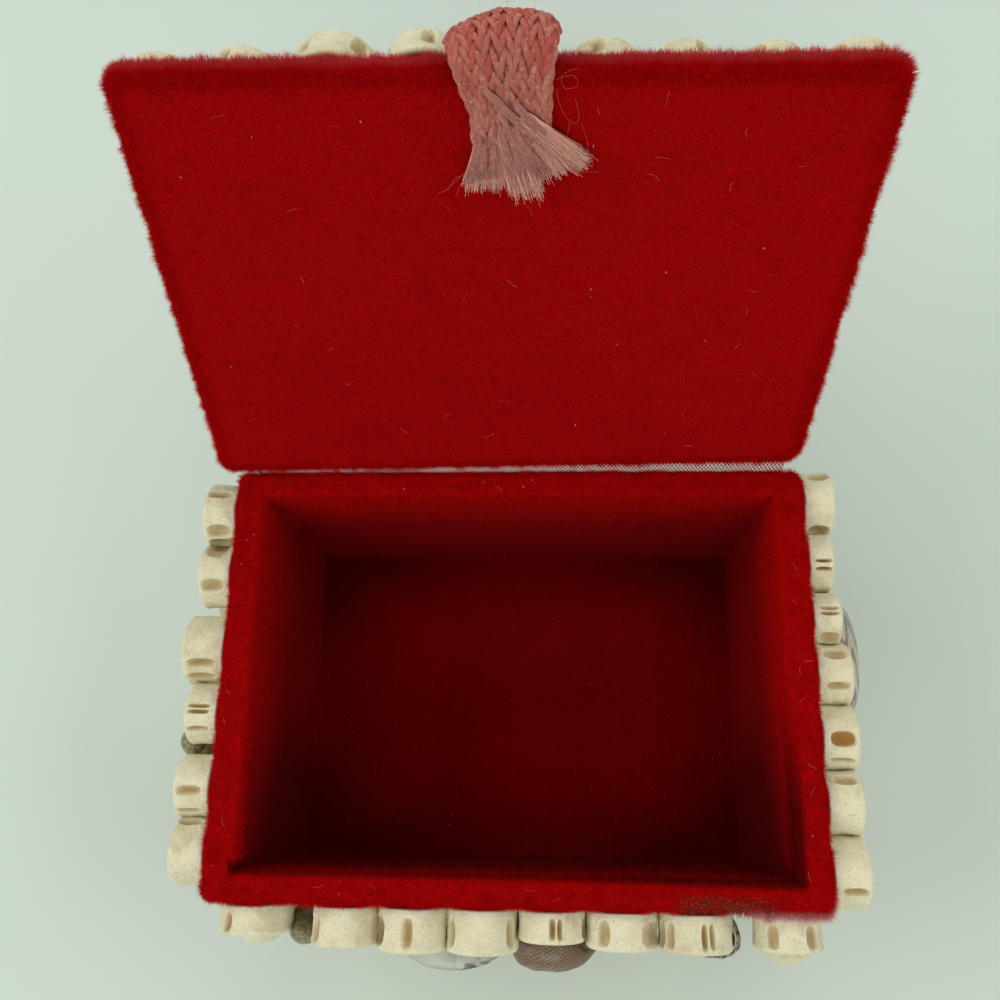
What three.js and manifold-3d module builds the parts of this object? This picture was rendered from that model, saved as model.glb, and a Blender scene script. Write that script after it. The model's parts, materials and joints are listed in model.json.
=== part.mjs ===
// A hinged shell box: a velvet-lined trinket box whose sides and lid are set
// with shark vertebrae and sea shells.  Millimetres, +Z up, front towards -Y,
// origin at the centre of the underside.  The lid is modelled open, on its stop.
import * as THREE from 'three';
import { mergeVertices } from 'three/addons/utils/BufferGeometryUtils.js';
import Module from 'manifold-3d';

const wasm = await Module();
wasm.setup();

// ---------------------------------------------------------------- dimensions
const GAP = 0.3;                 // left between pieces that touch

const BOX_W = 127;               // over the velvet rim, left to right
const BOX_D = 91.3;              // over the velvet rim, front to back
const BOX_H = 63.5;              // underside to the top of the rim
const RIM_W = 6.35;              // rim width on the two sides
const RIM_D = 5.5;               // rim width at the front and the back
const PILE = 1.2;                // thickness of velvet with its backing
const FLOOR_CARD = 2;            // card under the floor velvet
const FLOOR_PILE = 0.9;
const SKIRT = 4;                 // velvet folded down outside the rim

const LID_ANGLE = 116.6;         // degrees open at rest
const LID_T = 6;                 // lid thickness over its velvet
const LID_MARGIN = 9;            // velvet folded onto the lid's outer face
const LID_FRONT_MARGIN = 17;
const HINGE_Y = 46.4;
const HINGE_Z = BOX_H + 1.1;
// The lid was cut by hand: its corners as [across, distance from the hinge].
const LID_CORNERS = [[-67.4, -1.1], [62.4, 1.6], [64.8, 87.1], [-64.6, 88.9]];

const TAPE_W = 119;              // woven hinge tape
const TAPE_T = 0.6;
const TAPE_FOOT = 47;            // height of its lower edge
const TAPE_TOPS = [62.8, 64.4];  // upper edge at its left and right end

const TAB_T = 1.7;               // braided pull tab
const TAB_BACK = 78.5;           // its fixed end, from the hinge
const TAB_LOOP = 6.5;            // how far its loop stands out past the lid
const TAB_TIP = 65.4;            // its loose end, from the hinge

const VERTEBRA_TOP = BOX_H - 2;  // height of the top row's upper edge
const NECK = 0.91;               // waist of a vertebra against its rims
const PIT_HALF = 11;             // half width of a side pit, degrees
const PIT_DEPTH = 0.2;           // depth of a side pit against the radius
const LOWER_PITS = [147, 213];   // the second pair, on the far side

// ----------------------------------------------------------------- materials
const colour = (hex, roughness) => new THREE.MeshStandardMaterial({ color: hex, roughness, metalness: 0 });
const CARD = colour(0xb9c1b4, 0.9);
const VELVET = colour(0x8c0510, 0.95);
const BONE = colour(0xd9d1ae, 0.7);
const GAUZE = colour(0xe6d8cc, 0.9);
const BRAID = colour(0xbd706b, 0.6);
const CREAM_SHELL = colour(0xdcd2b8, 0.5);
const GREY_SHELL = colour(0xa9aaa0, 0.35);
const BROWN_SHELL = colour(0x6f5138, 0.5);
const BANDED_SHELL = colour(0x9b7f68, 0.4);

// ------------------------------------------------------------------- helpers
const rad = THREE.MathUtils.degToRad;

/** A BufferGeometry from a list of points and a list of triangles. */
function indexed(points, faces) {
  const geometry = new THREE.BufferGeometry();
  geometry.setAttribute('position', new THREE.Float32BufferAttribute(points.flat(), 3));
  geometry.setIndex(faces.flat());
  return geometry;
}

/** Closes a stack of rings, each the same number of points, with a fan at both ends. */
function ringSolid(rings, startPole, endPole) {
  const n = rings[0].length;
  const points = rings.flat();
  const faces = [];
  for (let i = 0; i + 1 < rings.length; i++) {
    for (let j = 0; j < n; j++) {
      const k = (j + 1) % n;
      const [a, b, c, d] = [i * n + j, i * n + k, (i + 1) * n + k, (i + 1) * n + j];
      faces.push([a, b, c], [a, c, d]);
    }
  }
  const first = points.push(startPole) - 1;
  const last = points.push(endPole) - 1;
  const top = (rings.length - 1) * n;
  for (let j = 0; j < n; j++) {
    const k = (j + 1) % n;
    faces.push([first, k, j], [last, top + j, top + k]);
  }
  return indexed(points, faces);
}

function toManifold(geometry) {
  let bare = geometry.clone();
  bare.deleteAttribute('normal');
  bare.deleteAttribute('uv');
  bare = mergeVertices(bare, 1e-4);
  const mesh = new wasm.Mesh({
    numProp: 3,
    vertProperties: new Float32Array(bare.attributes.position.array),
    triVerts: new Uint32Array(bare.index.array),
  });
  return new wasm.Manifold(mesh);
}

function toGeometry(solid) {
  const mesh = solid.getMesh();
  const geometry = new THREE.BufferGeometry();
  geometry.setAttribute('position', new THREE.BufferAttribute(mesh.vertProperties, 3));
  geometry.setIndex(new THREE.BufferAttribute(mesh.triVerts, 1));
  return geometry;
}

/** A polygon whose corners are cut back by a small curve. */
function softPolygon(corners, radius, steps = 2) {
  const points = [];
  corners.forEach((corner, i) => {
    const p = new THREE.Vector2(...corner);
    const before = new THREE.Vector2(...corners.at(i - 1)).sub(p).setLength(radius).add(p);
    const after = new THREE.Vector2(...corners[(i + 1) % corners.length]).sub(p).setLength(radius).add(p);
    points.push(...new THREE.QuadraticBezierCurve(before, p, after).getPoints(steps));
  });
  return new THREE.Shape(points);
}

/** A prism on a shape in the XY plane, from one height to another. */
function prism(shape, low, high) {
  const geometry = new THREE.ExtrudeGeometry(shape, { depth: high - low, bevelEnabled: false });
  return toManifold(geometry.translate(0, 0, low));
}

const boxCorners = (x, y) => [[-x, -y], [x, -y], [x, y], [-x, y]];
const slab = (x, y, low, high, radius) => prism(softPolygon(boxCorners(x, y), radius), low, high);

const part = new THREE.Group();

/** Names a mesh and adds it to its group. */
function add(group, name, geometry, material, place = () => {}) {
  const mesh = new THREE.Mesh(geometry, material);
  mesh.name = name;
  place(mesh);
  group.add(mesh);
  return mesh;
}

// --------------------------------------------------------- the box and its lining
const halfW = BOX_W / 2;
const halfD = BOX_D / 2;
const cavityX = halfW - RIM_W;
const cavityY = halfD - RIM_D;
const skinX = cavityX + PILE;              // back of the velvet inside
const skinY = cavityY + PILE;
const coverX = halfW - PILE;               // back of the velvet folded outside
const coverY = halfD - PILE;
const cardTop = BOX_H - PILE - GAP;
const stepZ = BOX_H - SKIRT - GAP;

function carcass() {
  const body = slab(halfW, halfD, 0, stepZ, 3);
  const neck = slab(coverX - GAP, coverY - GAP, stepZ - 1, cardTop, 2);
  const well = slab(skinX + GAP, skinY + GAP, FLOOR_CARD, BOX_H, 1.5);
  return toGeometry(body.add(neck).subtract(well));
}

function lining() {
  const collar = slab(halfW, halfD, BOX_H - SKIRT, BOX_H, 3);
  const tub = slab(skinX, skinY, FLOOR_CARD + GAP, BOX_H, 1.5);
  const wallRoom = slab(coverX, coverY, 0, BOX_H - PILE, 2).subtract(slab(skinX, skinY, -1, BOX_H, 1.5));
  const cavity = slab(cavityX, cavityY, FLOOR_CARD + GAP + FLOOR_PILE, BOX_H + 1, 1);
  return toGeometry(collar.add(tub).subtract(wallRoom).subtract(cavity));
}

/** A strip glued down the outside of the back wall, its top cut on the slant. */
function hingeTape() {
  const half = TAPE_W / 2;
  const outline = new THREE.Shape([
    new THREE.Vector2(-half, TAPE_FOOT), new THREE.Vector2(half, TAPE_FOOT),
    new THREE.Vector2(half, TAPE_TOPS[1]), new THREE.Vector2(-half, TAPE_TOPS[0]),
  ]);
  return new THREE.ExtrudeGeometry(outline, { depth: TAPE_T, bevelEnabled: false })
    .rotateX(Math.PI / 2).translate(0, halfD + GAP + TAPE_T, 0);
}

add(part, 'box_carcass', carcass(), CARD);
add(part, 'velvet_lining', lining(), VELVET);
add(part, 'hinge_tape', hingeTape(), GAUZE);

// ------------------------------------------------------------------ ornaments
// Each is made on a flat bed: Z stands out from it, Y points up it.

/**
 * One shark vertebra: a waisted drum with a hollow face and long pits in its
 * side.  Pits are angles from the top, positive to the right.
 */
function vertebra(diameter, thickness, pits) {
  const radius = diameter / 2 - GAP / 2;
  const hollows = [...pits, ...LOWER_PITS].map((a) => (a + 360) % 360).sort((a, b) => a - b);
  const columns = [];
  hollows.forEach((pit, i) => {
    const next = hollows[i + 1] ?? hollows[0] + 360;
    const span = next - pit - 2 * PIT_HALF;
    const between = Math.max(0, Math.round(span / 34));
    columns.push({ a: pit - PIT_HALF }, { a: pit, pit: true }, { a: pit + PIT_HALF });
    for (let k = 1; k <= between; k++) columns.push({ a: pit + PIT_HALF + (span * k) / (between + 1) });
  });
  columns.reverse();                       // counterclockwise seen from outside
  const ring = (share, z, pitShare = share) => columns.map((column) => {
    const r = radius * (column.pit ? pitShare : share);
    return [r * Math.sin(rad(column.a)), r * Math.cos(rad(column.a)), z];
  });
  const rings = [
    ring(0.97, 0),
    ring(NECK, thickness * 0.5, NECK - PIT_DEPTH),
    ring(1, thickness * 0.94),
    ring(0.9, thickness),
  ];
  return ringSolid(rings, [0, 0, 0], [0, 0, thickness * 0.62]);
}

/**
 * A ribbed valve, hinge up, lying on its rim: cockle or scallop.
 * spread is how far the fan opens to each side, degrees; power rounds its outline.
 */
function valve({ width, height, depth, ribs, spread, power }) {
  const rows = 4;
  const columns = ribs * 2;
  const stretch = width / valveWidth(height, spread, power);
  const points = [[0, height / 2, 0]];
  for (let i = 1; i <= rows; i++) {
    for (let j = 0; j <= columns; j++) {
      const across = (2 * j) / columns - 1;
      const phi = rad(spread) * across;
      const rib = j % 2 ? 1 : 0.94;
      const s = i / rows;
      const reach = height * Math.cos(phi) ** power * s * (i === rows ? rib : 1);
      const dome = Math.sin(Math.PI * s ** 0.62) ** 0.7 * Math.sqrt(1 - across * across);
      const z = i === rows ? 0 : depth * dome * rib;
      points.push([reach * Math.sin(phi) * stretch, height / 2 - reach * Math.cos(phi), z]);
    }
  }
  const at = (i, j) => 1 + (i - 1) * (columns + 1) + j;
  const faces = [];
  for (let j = 0; j < columns; j++) {
    faces.push([0, at(1, j), at(1, j + 1)]);
    for (let i = 1; i < rows; i++) {
      faces.push([at(i, j), at(i + 1, j), at(i + 1, j + 1)], [at(i, j), at(i + 1, j + 1), at(i, j + 1)]);
    }
  }
  // the flat bed: a fan from a point inside the rim
  const middle = points.push([0, 0, 0]) - 1;
  const loop = [0];
  for (let i = 1; i < rows; i++) loop.push(at(i, 0));
  for (let j = 0; j <= columns; j++) loop.push(at(rows, j));
  for (let i = rows - 1; i > 0; i--) loop.push(at(i, columns));
  loop.forEach((p, i) => faces.push([middle, loop[(i + 1) % loop.length], p]));
  return indexed(points, faces);
}

/** Full width of a valve's fan before it is stretched. */
function valveWidth(height, spread, power) {
  let widest = 0;
  for (let phi = 0; phi <= spread; phi += 1) {
    widest = Math.max(widest, height * Math.cos(rad(phi)) ** power * Math.sin(rad(phi)));
  }
  return 2 * widest;
}

/**
 * A coiled shell lying on its side, apex towards -X.  The profile is a list of
 * [share of length, share of radius]; what would sink below the bed is flat.
 * mouth = [from, to, angle] hollows the side between two shares of the length.
 */
function coiled({ length, radius, lift, profile, mouth, sides = 10 }) {
  const rings = profile.slice(1, -1).map(([t, share]) => {
    const ring = [];
    for (let j = 0; j < sides; j++) {
      const a = (2 * Math.PI * j) / sides;
      const open = mouth && t > mouth[0] && t < mouth[1] && Math.abs(a - rad(mouth[2])) < Math.PI / sides;
      const r = radius * share * (open ? 0.5 : 1);
      ring.push([(t - 0.5) * length, r * Math.cos(a), Math.max(0, lift + r * Math.sin(a))]);
    }
    return ring;
  });
  return ringSolid(rings, [-length / 2, 0, lift], [length / 2, 0, lift]);
}

/** A thin cupped lip wrapped round a circle, from one clock angle to another. */
function lip({ radius, thickness, depth, from, to }) {
  const steps = 8;
  const rings = [];
  for (let i = 0; i <= steps; i++) {
    const a = rad(from + ((to - from) * i) / steps);
    const taper = Math.sin((Math.PI * (i + 0.6)) / (steps + 1.2)) ** 0.5;
    const at = (r, z) => [r * Math.sin(a), r * Math.cos(a), z];
    const out = radius + thickness;
    rings.push([at(radius, 0), at(out, 0), at(out, depth * taper), at(radius, depth * taper)]);
  }
  const centre = (ring) => [0, 1, 2].map((k) => ring.reduce((sum, p) => sum + p[k], 0) / ring.length);
  return ringSolid(rings, centre(rings[0]), centre(rings[steps]));
}

const WHELK = [[0, 0], [0.05, 0.12], [0.16, 0.38], [0.19, 0.34], [0.34, 0.72], [0.38, 0.66],
  [0.52, 1], [0.68, 0.94], [0.84, 0.5], [0.97, 0.26], [1, 0]];
const TURBAN = [[0, 0], [0.05, 0.16], [0.17, 0.46], [0.2, 0.44], [0.38, 0.88], [0.55, 1], [0.74, 0.88],
  [0.9, 0.52], [0.98, 0.24], [1, 0]];
const BUBBLE = [[0, 0], [0.04, 0.3], [0.16, 0.7], [0.36, 0.98], [0.6, 1], [0.82, 0.72], [0.95, 0.38], [1, 0]];
const MOON = [[0, 0], [0.04, 0.09], [0.18, 0.26], [0.28, 0.46], [0.44, 0.9], [0.6, 1], [0.8, 0.82],
  [0.95, 0.4], [1, 0]];
const OLIVE = [[0, 0], [0.05, 0.16], [0.14, 0.52], [0.34, 0.92], [0.56, 1], [0.8, 0.8], [0.97, 0.42], [1, 0]];
const COCKLE = { ribs: 7, spread: 72, power: 0.8 };
const SCALLOP = { ribs: 8, spread: 56, power: 0.3 };

// --------------------------------------------------------- the beds they stand on
/** A group on an outside wall: X runs right along it, Y up it, Z out of it. */
function wall(turn, distance) {
  const group = new THREE.Group();
  group.rotation.set(Math.PI / 2, 0, rad(turn), 'ZXY');
  const out = new THREE.Vector3(0, -distance - GAP, 0).applyAxisAngle(new THREE.Vector3(0, 0, 1), rad(turn));
  group.position.copy(out);
  part.add(group);
  return group;
}
const front = wall(0, halfD);
const right = wall(90, halfW);
const back = wall(180, halfD);
const left = wall(-90, halfW);

/** Stands an ornament on a bed, turned in the bed's plane. */
const stand = (across, up, turn = 0) => (mesh) => {
  mesh.position.set(across, up, 0);
  mesh.rotation.z = rad(turn);
};

// The top row on three sides: [place along the wall, diameter, thickness, pits].
const TOP_ROWS = {
  front: [front, [
    [-53.7, 17, 7.1, [-31]], [-35, 13.6, 7.8, [-55]], [-20.9, 14.4, 8.5, [-68, -2]],
    [-6.5, 14.5, 8.6, [-56, 57]], [7.9, 13.6, 6.2, [8, 72]], [22.2, 14.3, 7.3, [-35, 55]],
    [37.3, 15, 7.5, [-60, 14]], [55.7, 13.8, 6.9, [-37, 33]],
  ]],
  right: [right, [
    [-38.3, 14.7, 7.8, [-30]], [-24.7, 13, 7.6, [43]], [-11.5, 13.6, 7.8, [-47, -5]],
    [1.7, 13.1, 7.7, [-28, 38]], [13.8, 11.6, 6.3, [-52, 10]], [26.4, 13.6, 5.6, [-13]],
    [40.5, 14.8, 7, [-68, 45]],
  ]],
  left: [left, [
    [-37.7, 15, 7.9, [-30, 42]], [-23.3, 14.4, 7.6, [-58, 28]], [-6.3, 15.4, 9.4, [29, 55]],
    [7.8, 13.3, 7.3, [-5, 33]], [23.2, 13.2, 8, [9, 51]], [36.6, 14.3, 7.8, [-56]],
  ]],
};
for (const [side, [bed, row]] of Object.entries(TOP_ROWS)) {
  row.forEach(([across, diameter, thickness, pits], i) => {
    const up = VERTEBRA_TOP - diameter / 2;
    add(bed, `vertebra_${side}_${i + 1}`, vertebra(diameter, thickness, pits), BONE, stand(across, up));
  });
}

// --------------------------------------------------------------- shells on the walls
add(front, 'vertebra_corner_left', vertebra(15, 10.3, [-38, 38]), BONE, stand(-57, 36.4));
add(front, 'vertebra_corner_right', vertebra(15, 12.4, [-38, 38]), BONE, stand(57.5, 39.8));
add(front, 'front_moon_snail', coiled({ length: 29, radius: 6, lift: 5, profile: MOON }),
  GREY_SHELL, stand(-43, 41.5, -90));
add(front, 'front_bubble_shell', coiled({ length: 30, radius: 8.2, lift: 6.2, profile: BUBBLE }),
  GREY_SHELL, stand(-17.5, 38));
add(front, 'front_ribbed_whelk',
  coiled({ length: 24.5, radius: 6.8, lift: 6.5, profile: WHELK, mouth: [0.6, 0.9, 72] }),
  BROWN_SHELL, stand(10.8, 39.6));
add(front, 'front_white_cockle', valve({ ...COCKLE, width: 14, height: 17, depth: 10.5 }),
  CREAM_SHELL, stand(31.2, 37.6, 180));
add(front, 'front_brown_valve', lip({ radius: 7.8, thickness: 0.9, depth: 9.8, from: 74, to: 160 }),
  BROWN_SHELL, stand(37.3, 54));
add(front, 'front_scallop_left', valve({ ...SCALLOP, width: 43, height: 27, depth: 8.5 }),
  CREAM_SHELL, stand(-22, 16));
add(front, 'front_scallop_right', valve({ ...SCALLOP, width: 43, height: 27, depth: 8.5 }),
  CREAM_SHELL, stand(22, 15.4));

add(right, 'right_banded_turban',
  coiled({ length: 32, radius: 8, lift: 7.6, profile: TURBAN, mouth: [0.5, 0.95, 36] }),
  BANDED_SHELL, stand(1.5, 39.2, 180));
add(right, 'right_cockle_front', valve({ ...COCKLE, width: 34, height: 36, depth: 10 }),
  CREAM_SHELL, stand(-27, 23));
add(right, 'right_cockle_back', valve({ ...COCKLE, width: 33, height: 36, depth: 10 }),
  CREAM_SHELL, stand(29, 23));

add(left, 'left_moon_snail', coiled({ length: 29, radius: 7, lift: 6, profile: MOON }),
  GREY_SHELL, stand(15.5, 39.8, -90));
add(left, 'left_ribbed_whelk',
  coiled({ length: 22, radius: 7, lift: 6.6, profile: WHELK, mouth: [0.6, 0.9, 72] }),
  BROWN_SHELL, stand(34.4, 39.4, 180));
add(left, 'left_cockle', valve({ ...COCKLE, width: 38, height: 41, depth: 11 }),
  CREAM_SHELL, stand(-20, 24.5));

['left', 'middle', 'right'].forEach((word, i) => {
  add(back, `back_scallop_${word}`, valve({ ...SCALLOP, width: 41, height: 38, depth: 9 }),
    CREAM_SHELL, stand((i - 1) * 42, 23));
});

// ------------------------------------------------------------------------ the lid
// Built closed, hinge along X at the group's origin, front towards -Y, then opened.
const lid = new THREE.Group();
lid.position.set(0, HINGE_Y, HINGE_Z);
lid.rotation.x = rad(-LID_ANGLE);
part.add(lid);

/** The lid's outline drawn in from its hinge, right, front and left edges. */
function lidOutline(hingeIn, rightIn, frontIn, leftIn) {
  const [a, b, c, d] = LID_CORNERS;
  return [
    [a[0] + leftIn, -(a[1] + hingeIn)], [d[0] + leftIn, -(d[1] - frontIn)],
    [c[0] - rightIn, -(c[1] - frontIn)], [b[0] - rightIn, -(b[1] + hingeIn)],
  ];
}
const lidField = (inset) => lidOutline(LID_MARGIN + inset, LID_MARGIN + inset,
  LID_FRONT_MARGIN + inset, LID_MARGIN + inset);

function lidBoard() {
  const under = PILE + GAP;
  const plate = prism(softPolygon(lidOutline(under, under, under, under), 2), under, LID_T - PILE - GAP);
  const field = prism(softPolygon(lidField(GAP), 2), under, LID_T);
  return toGeometry(plate.add(field));
}

function lidVelvet() {
  const cover = prism(softPolygon(lidOutline(0, 0, 0, 0), 3), 0, LID_T);
  const room = prism(softPolygon(lidOutline(PILE, PILE, PILE, PILE), 2), PILE, LID_T - PILE);
  const window = prism(softPolygon(lidField(0), 2), LID_T - PILE - 1, LID_T + 1);
  return toGeometry(cover.subtract(room).subtract(window));
}

/** The braided band: fixed on the outer face, looped over the front edge, frayed inside. */
function pullTab() {
  const frontEdge = (LID_CORNERS[2][1] + LID_CORNERS[3][1]) / 2 + GAP;
  const inner = -GAP - TAB_T / 2;
  const outer = LID_T + GAP + TAB_T / 2;
  const middle = (inner + outer) / 2;
  const bend = (grow, start, end, steps) => {
    const points = [];
    for (let i = 0; i <= steps; i++) {
      const a = start + ((end - start) * i) / steps;
      const reach = [TAB_LOOP + grow, (outer - inner) / 2 + grow];
      points.push(new THREE.Vector2(frontEdge + reach[0] * Math.cos(a), middle + reach[1] * Math.sin(a)));
    }
    return points;
  };
  const half = TAB_T / 2;
  const side = new THREE.Shape([
    new THREE.Vector2(TAB_BACK, outer + half), ...bend(half, Math.PI / 2, -Math.PI / 2, 8),
    new THREE.Vector2(TAB_TIP, inner - half), new THREE.Vector2(TAB_TIP, inner + half),
    ...bend(-half, -Math.PI / 2, Math.PI / 2, 8), new THREE.Vector2(TAB_BACK, outer - half),
  ]);
  const plan = new THREE.Shape([[-9.2, 91.5], [-5.3, 82], [-5, 76], [-6.6, 68.6], [-1, 67.6], [3.2, 65],
    [7.5, 67.8], [14, 71.4], [13.2, 73.4], [8, 77.5], [8.3, 87], [9.8, 92], [7.5, 95.2], [0, 96], [-6.5, 94.6],
  ].map(([u, v]) => new THREE.Vector2(u, -v)));
  const length = 30;
  const band = new THREE.ExtrudeGeometry(side, { depth: length, bevelEnabled: false });
  // the side view lies in X (from the hinge) and Y (out of the lid); set it across the lid
  band.translate(0, 0, -length / 2);
  band.applyMatrix4(new THREE.Matrix4().set(0, 0, -1, 0, -1, 0, 0, 0, 0, 1, 0, 0, 0, 0, 0, 1));
  return toGeometry(toManifold(band).intersect(prism(plan, -10, 20)));
}

add(lid, 'lid_board', lidBoard(), CARD);
add(lid, 'lid_velvet', lidVelvet(), VELVET);
add(lid, 'pull_tab', pullTab(), BRAID);

// The lid's outer face: X runs towards the lid's left, Y to its front edge, Z outwards.
const lidFace = new THREE.Group();
lidFace.rotation.z = Math.PI;
lidFace.position.z = LID_T + GAP;
lid.add(lidFace);

// The row along the front edge: [across, furthest reach, radius, thickness, pits].
const EDGE_ROW = [
  [-60, 87.6, 7.3, 8, [-30, 44]], [-44.9, 88.4, 7.3, 7.6, [-52, 20]], [-28.9, 90.3, 8.1, 8.2, [-40, 35]],
  [-13.2, 90.3, 7.3, 7.8, [-10, 62]], [2, 90, 7.4, 7, [-36, 36]], [16.8, 88, 7.1, 8, [-60, 12]],
  [30.4, 87.6, 6.2, 7.4, [-25, 48]], [45.4, 86.9, 6.4, 7.6, [-44, 30]], [59.4, 87, 6.9, 8, [-34, 40]],
];
const ON_TAB = 5;                // this one stands on the pull tab's fixed end
EDGE_ROW.forEach(([across, reach, radius, thickness, pits], i) => {
  const geometry = vertebra(radius * 2, thickness, pits);
  add(lidFace, `vertebra_lid_${i + 1}`, geometry, BONE, (mesh) => {
    stand(-across, reach - radius)(mesh);
    if (i + 1 === ON_TAB) mesh.position.z += TAB_T + GAP;
  });
});

add(lidFace, 'lid_scallop', valve({ ...SCALLOP, width: 46, height: 42, depth: 12 }),
  CREAM_SHELL, stand(0, 41, 180));
add(lidFace, 'lid_whelk_left',
  coiled({ length: 52, radius: 10.5, lift: 9.5, profile: WHELK, mouth: [0.5, 0.9, 72] }),
  BROWN_SHELL, stand(41, 38, 90));
add(lidFace, 'lid_tulip_right',
  coiled({ length: 52, radius: 10, lift: 9, profile: TURBAN, mouth: [0.5, 0.95, 108] }),
  BANDED_SHELL, stand(-41, 38, 90));
add(lidFace, 'lid_cockle_left', valve({ ...COCKLE, width: 20, height: 15, depth: 7 }),
  CREAM_SHELL, stand(14, 10.5, 180));
add(lidFace, 'lid_cockle_right', valve({ ...COCKLE, width: 20, height: 15, depth: 7 }),
  CREAM_SHELL, stand(-14, 10.5, 180));
add(lidFace, 'lid_olive', coiled({ length: 28, radius: 4.2, lift: 3.8, profile: OLIVE }),
  GREY_SHELL, stand(0, 67.6));

export default part;
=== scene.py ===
"""A hinged trinket box of card and red velvet, set all round with sea shells
and shark vertebrae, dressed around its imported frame."""

import json
import math

import bmesh
import bpy
import numpy as np
from mathutils import Matrix, Vector

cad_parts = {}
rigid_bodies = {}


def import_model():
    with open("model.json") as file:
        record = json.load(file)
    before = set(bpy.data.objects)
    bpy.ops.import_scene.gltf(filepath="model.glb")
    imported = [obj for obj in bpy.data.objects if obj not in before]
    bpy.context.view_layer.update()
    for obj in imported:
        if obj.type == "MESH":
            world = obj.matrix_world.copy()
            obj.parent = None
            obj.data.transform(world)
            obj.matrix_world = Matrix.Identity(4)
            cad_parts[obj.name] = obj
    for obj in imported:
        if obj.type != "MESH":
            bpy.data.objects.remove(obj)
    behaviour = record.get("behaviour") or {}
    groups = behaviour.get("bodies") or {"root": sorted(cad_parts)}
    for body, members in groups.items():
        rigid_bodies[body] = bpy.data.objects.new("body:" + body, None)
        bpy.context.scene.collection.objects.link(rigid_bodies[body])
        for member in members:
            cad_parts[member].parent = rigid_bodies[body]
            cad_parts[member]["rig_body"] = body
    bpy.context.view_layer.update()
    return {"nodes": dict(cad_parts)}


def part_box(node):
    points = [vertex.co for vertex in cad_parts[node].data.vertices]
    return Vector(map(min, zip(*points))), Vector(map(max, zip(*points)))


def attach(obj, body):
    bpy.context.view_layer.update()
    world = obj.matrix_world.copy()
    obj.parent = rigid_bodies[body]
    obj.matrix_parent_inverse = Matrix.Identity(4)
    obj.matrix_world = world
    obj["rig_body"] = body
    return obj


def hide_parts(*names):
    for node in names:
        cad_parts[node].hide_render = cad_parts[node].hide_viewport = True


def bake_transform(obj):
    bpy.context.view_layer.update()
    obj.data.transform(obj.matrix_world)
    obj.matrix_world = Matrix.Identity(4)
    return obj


bl_info = {
    "name": "Shell Trinket Box",
    "version": (1, 0, 0),
    "blender": (4, 5, 0),
    "location": "View3D > Sidebar > Shell Box",
    "description": "Builds a velvet-lined shell box piece by piece on its frame",
    "category": "Object",
}

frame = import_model()
MM = 0.001


# ------------------------------------------------------------ beds and places
def shift(x, y, z):
    """A 4x4 move, in millimetres."""
    matrix = np.eye(4)
    matrix[:3, 3] = (x, y, z)
    return matrix


def turned(axis, degrees):
    """A 4x4 turn about one axis."""
    return np.array(Matrix.Rotation(math.radians(degrees), 4, axis))


def moved(points, *steps):
    """Points carried through 4x4 matrices, the last one first."""
    for step in reversed(steps):
        points = points @ step[:3, :3].T + step[:3, 3]
    return points


def aimed(ways, bed):
    """Directions turned as a bed is, without its move."""
    return np.asarray(ways, float) @ bed[:3, :3].T


# Sizes are in millimetres.
GAP = 0.3  # between a card or velvet face and what lies on it
LID_OPEN = 116.6  # degrees the lid stands open at rest
LID_T = 6.0
HALF_W, HALF_D = (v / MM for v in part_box("box_carcass")[1][:2])
BOX_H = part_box("velvet_lining")[1][2] / MM
HINGE_Y, HINGE_Z = 46.4, 64.6
# the lid's corners: across, and from the hinge
LID_CORNERS = [(-67.4, -1.4), (62.4, 1.2), (64.8, 87.8), (-64.6, 89.4)]


def wall_bed(turn, distance):
    """The bed of an outside wall: X right along it, Y up, Z out of it."""
    return turned("Z", turn) @ shift(0, -distance - GAP, 0) @ turned("X", 90)


LID_BED = shift(0, HINGE_Y, HINGE_Z) @ turned("X", -LID_OPEN)
BEDS = {
    "front": wall_bed(0, HALF_D),
    "right": wall_bed(90, HALF_W),
    "back": wall_bed(180, HALF_D),
    "left": wall_bed(-90, HALF_W),
    "lid": LID_BED @ turned("Z", 180) @ shift(0, 0, LID_T + GAP),
}


def room(node, bed):
    """Lowest and highest corner of a frame node in its bed's axes, millimetres."""
    mesh = frame["nodes"][node].data
    co = np.empty(len(mesh.vertices) * 3)
    mesh.vertices.foreach_get("co", co)
    local = moved(co.reshape(-1, 3) / MM, np.linalg.inv(BEDS[bed]))
    return local.min(0), local.max(0)


# ------------------------------------------------------------------ mesh tools
def strips(rows, columns, closed):
    """Quads over a grid of points, closed round its columns or open."""
    i = np.arange(rows - 1)[:, None]
    j = np.arange(columns if closed else columns - 1)[None, :]
    k = (j + 1) % columns
    corners = (i * columns + j, i * columns + k, (i + 1) * columns + k, (i + 1) * columns + j)
    return np.stack(np.broadcast_arrays(*corners), -1).reshape(-1, 4)


def wander(points, size, seed, octaves=1):
    """A smooth wandering value, about -1 to 1, for each point; size in mm."""
    draw = np.random.default_rng(seed)
    total = np.zeros(len(points))
    for octave in range(octaves):
        for _ in range(7):
            wave = draw.normal(size=3)
            wave *= draw.uniform(0.6, 1.5) * 2 ** octave / (size * np.linalg.norm(wave))
            total += np.sin(2 * np.pi * (points @ wave + draw.uniform())) / 2.6 / 1.8 ** octave
    return total


def smooth(low, high, value):
    """Smoothstep, also falling where low is above high."""
    t = np.clip((value - low) / (high - low), 0, 1)
    return t * t * (3 - 2 * t)


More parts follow.
